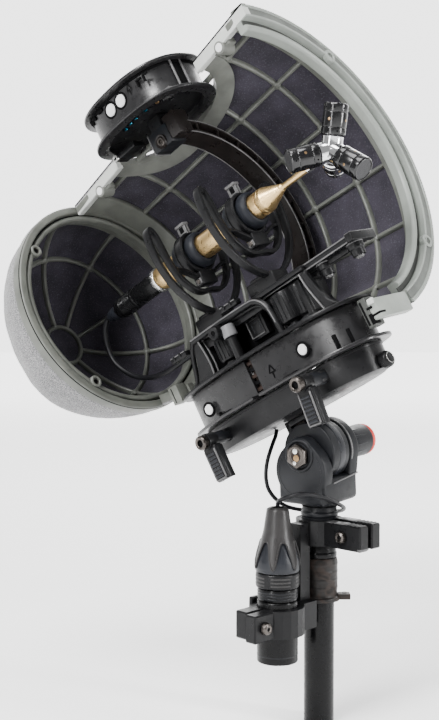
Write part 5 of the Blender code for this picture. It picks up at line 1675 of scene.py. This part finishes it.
def swivel_bolt():
    """A worn hexagon head and a plain shank."""
    near = BACK_ALONG_X
    bolt = Piece("hex_bolt", SWIVEL, "swivel", "steel")
    hexagon = [(6.6 * cos(pi / 3 * k), 6.6 * sin(pi / 3 * k)) for k in range(6)]
    bolt.add(prism(hexagon, 18.9, 21.6, 0.6), place=near)
    bolt.ring([(3.6, 21.1), (3.9, 21.75), (5.0, 21.75), (5.3, 21.1)], 48, place=near)
    bolt.turn([(0.01, 21.4), (2.6, 21.4), (2.9, 21.7), (0.01, 21.75)], 24, look="brown_dark",
              place=near)
    for x, y, size, look in ((-2.6, 0.3, 1.3, "silver"), (1.0, -0.4, 1.6, "brass"),
                             (3.6, 0.8, 0.9, "silver")):
        bolt.turn([(0.01, 21.4), (size, 21.4), (size * 1.1, 21.8), (0.01, 21.95)], 20, look=look,
                  place=near @ at(x, y, 0))
    bolt.turn([(0.01, -28.0), (2.9, -28.0), (2.9, 18.0), (0.01, 18.0)], 32, place=near)
    bolt.build("swivel_bolt", slot="steel")


def tilt_knob():
    """A fluted knob with a red end cap."""
    knob = Piece("knob", SWIVEL, "knob", "grey_plastic")
    knob.turn([(3.4, 14.1), (7.0, 14.1), (7.3, 17.5), (8.5, 26.0), (8.9, 38.6), (8.5, 39.6),
               (0.01, 39.6), (0.01, 30.1), (3.4, 30.1)], 64, 0.7, place=ALONG_X)
    for k in range(12):
        knob.box((20.5, -0.6, 7.4), (37.5, 0.6, 8.75), 0.5, place=spin(30 * k, "X"))
    knob.build("tilt_knob", slot="grey_plastic")
    cap = Piece("knob_end", SWIVEL, "knob", "red_plastic")
    cap.turn([(0.01, 44.4), (5.0, 44.4), (7.6, 43.4), (8.8, 41.4), (8.8, 39.4), (0.01, 39.4)], 56, 0.8,
             place=ALONG_X)
    cap.build("knob_cap", slot="red_plastic")


# ---- pole, clip and connector ----------------------------------------------------------------------
def pole():
    """The pole's tube, the collar under the swivel and the worn ferrule round its end."""
    tube = Piece("pole", WORLD, "stand", "black_metal")
    tube.turn([(0.01, 3.0), (6.5, 3.0), (6.5, 82.4), (8.0, 82.4), (8.0, 0.0), (0.01, 0.0)], 72, 0.35)
    tube.build("pole_tube", slot="black_metal")
    stud = Piece("stud_collar", WORLD, "stand", "black_metal")
    stud.ring([(5.2, 88.7), (9.1, 88.7), (9.3, 89.4), (9.3, 91.0), (8.9, 91.6), (8.9, 95.9),
               (5.2, 95.9)], 64, 0.3)
    stud.build(slot="black_metal")
    ferrule = Piece("ferrule", WORLD, "stand", "worn_metal")
    ferrule.ring([(8.35, 65.6), (11.1, 65.6), (11.1, 67.6), (9.8, 67.9), (9.5, 69.5), (9.7, 72.0),
                  (9.7, 86.2), (9.3, 88.4), (8.35, 88.4)], 72, 0.4)
    for k in range(4):
        z = 71.6 + 4.2 * k
        ferrule.ring([(9.6, z), (9.82, z + 0.5), (9.82, z + 1.6), (9.6, z + 2.1)], 72)
    ferrule.box((9.6, -3.9, 65.8), (16.4, 1.9, 68.9), 0.6)
    ferrule.turn([(0.01, 69.4), (1.1, 69.4), (1.4, 69.0), (0.01, 69.0)], 20, look="steel",
                 place=at(13.4, -1.0, 0))
    ferrule.build("pole_ferrule", slot="worn_metal")


def jaw_grips():
    """Ribs, and painted highlight strips along the edges of the clip's jaws."""
    grips = Piece("jaw_grips", CLIP, "swivel", "grey_and_painted_highlight")
    for y, z in ((-4.3, 108.9), (4.3, 109.7)):
        for k in range(4):
            x = 24.0 + 2.4 * k
            grips.box((x, y - 3.1, z), (x + 0.9, y + 3.1, z + 0.35), 0.12, "black_plastic")
        grips.box((11.0, y - 3.3, z), (22.0, y + 3.3, z + 0.3), 0.12)
    grips.box((31.5, -8.0, 96.6), (33.6, -0.9, 97.6), 0.2)
    grips.build(slot="black_plastic")


def clip_screws():
    for name, place in (("upper", at(21.5, -8.1, 102.5, Matrix.Rotation(pi / 2, 4, "X"))),
                        ("lower", at(8.1, -CONNECTOR_OUT - 18.0, 61.0,
                                     Matrix.Rotation(pi / 2, 4, "Y")))):
        screw = Piece("jaw_screw_" + name, CLIP, "swivel", "steel")
        screw.turn([(0.01, 0.9), (0.9, 0.9), (1.0, 2.4), (1.9, 2.6), (2.8, 2.1), (3.15, 0.8),
                    (3.2, 0.02), (0.01, 0.02)], 36, place=place)
        # the hexagon socket, in painted shade
        screw.add(stack([(circle(0.95, 6), 1.0), (circle(0.95, 6), 2.2)]), "painted_shade_black", place)
        screw.build("clip_screw_" + name, slot="steel")


def cable_boot():
    boot = Piece("boot", CONNECTOR, "swivel", "boot_plastic")
    boot.turn([(0.01, 117.0), (3.6, 117.0), (6.4, 106.0), (8.5, 99.5), (10.2, 94.5), (11.1, 91.5),
               (11.35, 89.0), (11.35, 86.1), (0.01, 86.1)], 72, 0.5, "slate_plastic")
    sleeve, hem = scalloped_sleeve()
    boot.add(sleeve)
    boot.add(sweep(hem, circle(0.42, 8), cyclic=True))
    boot.build("cable_boot", slot="grey_plastic")


def coupling_ring():
    ring = Piece("coupling", CONNECTOR, "coupling")
    ring.ring([(7.85, 78.1), (10.9, 78.1), (11.2, 78.6), (11.2, 85.0), (10.9, 85.6), (7.85, 85.6)], 72,
              0.25)
    for k in range(5):
        for z in (79.6, 81.4, 83.2):
            ring.add(raised_arc(11.05, 11.3, z, z + 0.8, 72 * k + 6, 72 * k + 60), "boot_plastic")
    ring.build("coupling_ring", slot="grey_plastic")


def connector():
    """The insulating core with its three contacts, and the metal shell round it."""
    core = Piece("core", CONNECTOR, "swivel", "black_metal")
    core.turn([(0.01, 85.6), (7.4, 85.6), (7.4, 77.6), (10.3, 77.6), (10.3, 71.7), (8.6, 71.7),
               (8.6, 56.1), (0.01, 56.1)], 72, 0.25)
    for z in (72.4, 73.9, 75.4):
        core.ring([(10.25, z), (10.39, z + 0.2), (10.39, z + 0.8), (10.25, z + 1.0)], 72,
                  look="grey_plastic")
    for k in range(3):
        core.turn([(0.01, 46.5), (0.9, 46.5), (1.15, 47.2), (1.15, 56.5), (0.01, 56.5)], 20,
                  look="gold", place=spin(120 * k + 30, "Z") @ at(4.1, 0, 0))
    core.build("connector_core", slot="black_plastic")
    shell = Piece("shell", CONNECTOR, "swivel", "black_metal")
    shell.ring([(9.05, 39.6), (10.3, 39.6), (10.5, 40.0), (10.5, 70.6), (10.2, 71.2), (9.05, 71.2)], 84,
               0.2)
    shell.ring([(10.42, 43.2), (10.5, 43.0), (10.58, 43.3), (10.5, 43.7)], 84, look="grey_plastic")
    shell.build("connector_shell", slot="black_metal")


def scalloped_sleeve():
    """The boot's soft outer sleeve: six rounded tongues reach down over the body below."""
    heights = ((118.5, 4.2), (117.9, 5.4), (106.0, 7.2), (99.5, 9.2), (94.5, 10.7), (91.0, 11.4),
               (86.0, 11.6))

    def radius(z):
        for (high, r_high), (low, r_low) in zip(heights, heights[1:]):
            if z >= low:
                return r_high + (r_low - r_high) * (high - z) / (high - low)
        return heights[-1][1]

    columns, rows = 180, 24
    outer, inner = [], []
    for i in range(rows + 1):
        ring, under = [], []
        for k in range(columns):
            a = 2 * pi * k / columns
            low = 88.0 + 13.8 * (1 - cos(3 * a) ** 4)
            z = 118.5 + (low - 118.5) * i / rows
            r = radius(z) + 0.25
            ring.append((r * cos(a), r * sin(a), z))
            under.append(((r - 1.1) * cos(a), (r - 1.1) * sin(a), z + 0.2))
        outer.append(ring)
        inner.append(under)
    hem = [Vector(p) for p in outer[-1][::2]]
    return loft(inner[::-1] + outer, cyclic=True), hem


def raised_arc(inner, outer, low, high, start, end, steps=18):
    """A raised arc between two angles, about Z."""
    rings = []
    for k in range(steps + 1):
        a = radians(start + (end - start) * k / steps)
        rings.append([(r * cos(a), r * sin(a), z)
                      for r, z in ((inner, low), (outer, low), (outer, high), (inner, high))])
    return loft(rings)


# ---- cables -------------------------------------------------------------------------------------
OUTER_KNOTS = (
    (-21.9, 17.1, 154.1), (-22.6, 15.5, 150.9), (-24.5, 13.0, 146.3), (-26.9, 9.5, 139.6),
    (-28.1, 6.5, 133.6), (-28.0, 5.0, 127.8), (-26.3, 5.5, 122.4), (-21.5, 9.0, 116.4),
    (-13.8, 12.5, 112.0), (1.6, 14.5, 109.5), (11.0, 11.0, 110.6), (12.6, -4.0, 114.8),
    (7.0, -18.0, 119.8), (-2.1, -27.5, 124.5), (-11.1, -32.0, 126.7), (-17.6, -32.0, 125.4),
    (-21.8, -28.0, 123.3), (-23.2, -24.3, 121.2), (-23.4, -23.4, 119.1))
MIC_KNOTS = (
    (-96.3, 0, MIC_Z), (-99.0, 0, MIC_Z), (-103.5, -1.0, -9.0), (-106.0, -2.0, -18.0),
    (-105.0, -3.0, -29.0), (-99.0, -3.0, -39.0), (-89.0, -3.0, -47.0), (-76.0, -3.0, -51.5),
    (-62.0, -2.0, -52.5), (-48.0, 0, -51.5), (-40.5, 0, -51.2))


def cable(name, knots, matrix, radius, node, bodies):
    """A thin round cable along its knots; it is not attached to the bodies given."""
    path = smooth_path(knots, 6)
    piece = Piece(name, matrix, bodies[0], "cable")
    piece.add(sweep(path, circle(radius, 14)))
    made = piece.build(node, slot="rubber", ride=False, sharp=60)
    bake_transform(made)


def kept_nodes():
    """CAD nodes whose shape is right already."""
    for name in ("clip_bracket", "clip_upper_jaw", "clip_lower_jaw"):
        keep_node(name, "black_plastic", 0.0004)
    keep_node("pole_stud", "black_metal")


camera()
surroundings()
lamps()
pale_floor()
cable("outer_cord", OUTER_KNOTS, WORLD, 1.1, "outer_cable", ("head", "swivel"))
cable("mic_cord", MIC_KNOTS, POD, 1.6, "mic_cable", ("microphone", "rail"))
for make in (dome_cloth, barrel_cloth, barrel_ribs, dome_ribs, rear_ring, front_rim, edge_strips,
             latches, top_hub, top_lid, hub_contacts, base_walls, base_deck, base_cap, end_knob,
             levers, c_arm, arm_screws, pedestal, rail_lock, rail, cable_anchor):
    make()
for side in ("rear", "front"):
    lyre(side)
for make in (microphone, capsules, swivel_block, swivel_neck, yoke, swivel_bolt, tilt_knob, pole,
             jaw_grips, clip_screws, cable_boot, coupling_ring, connector, kept_nodes):
    make()
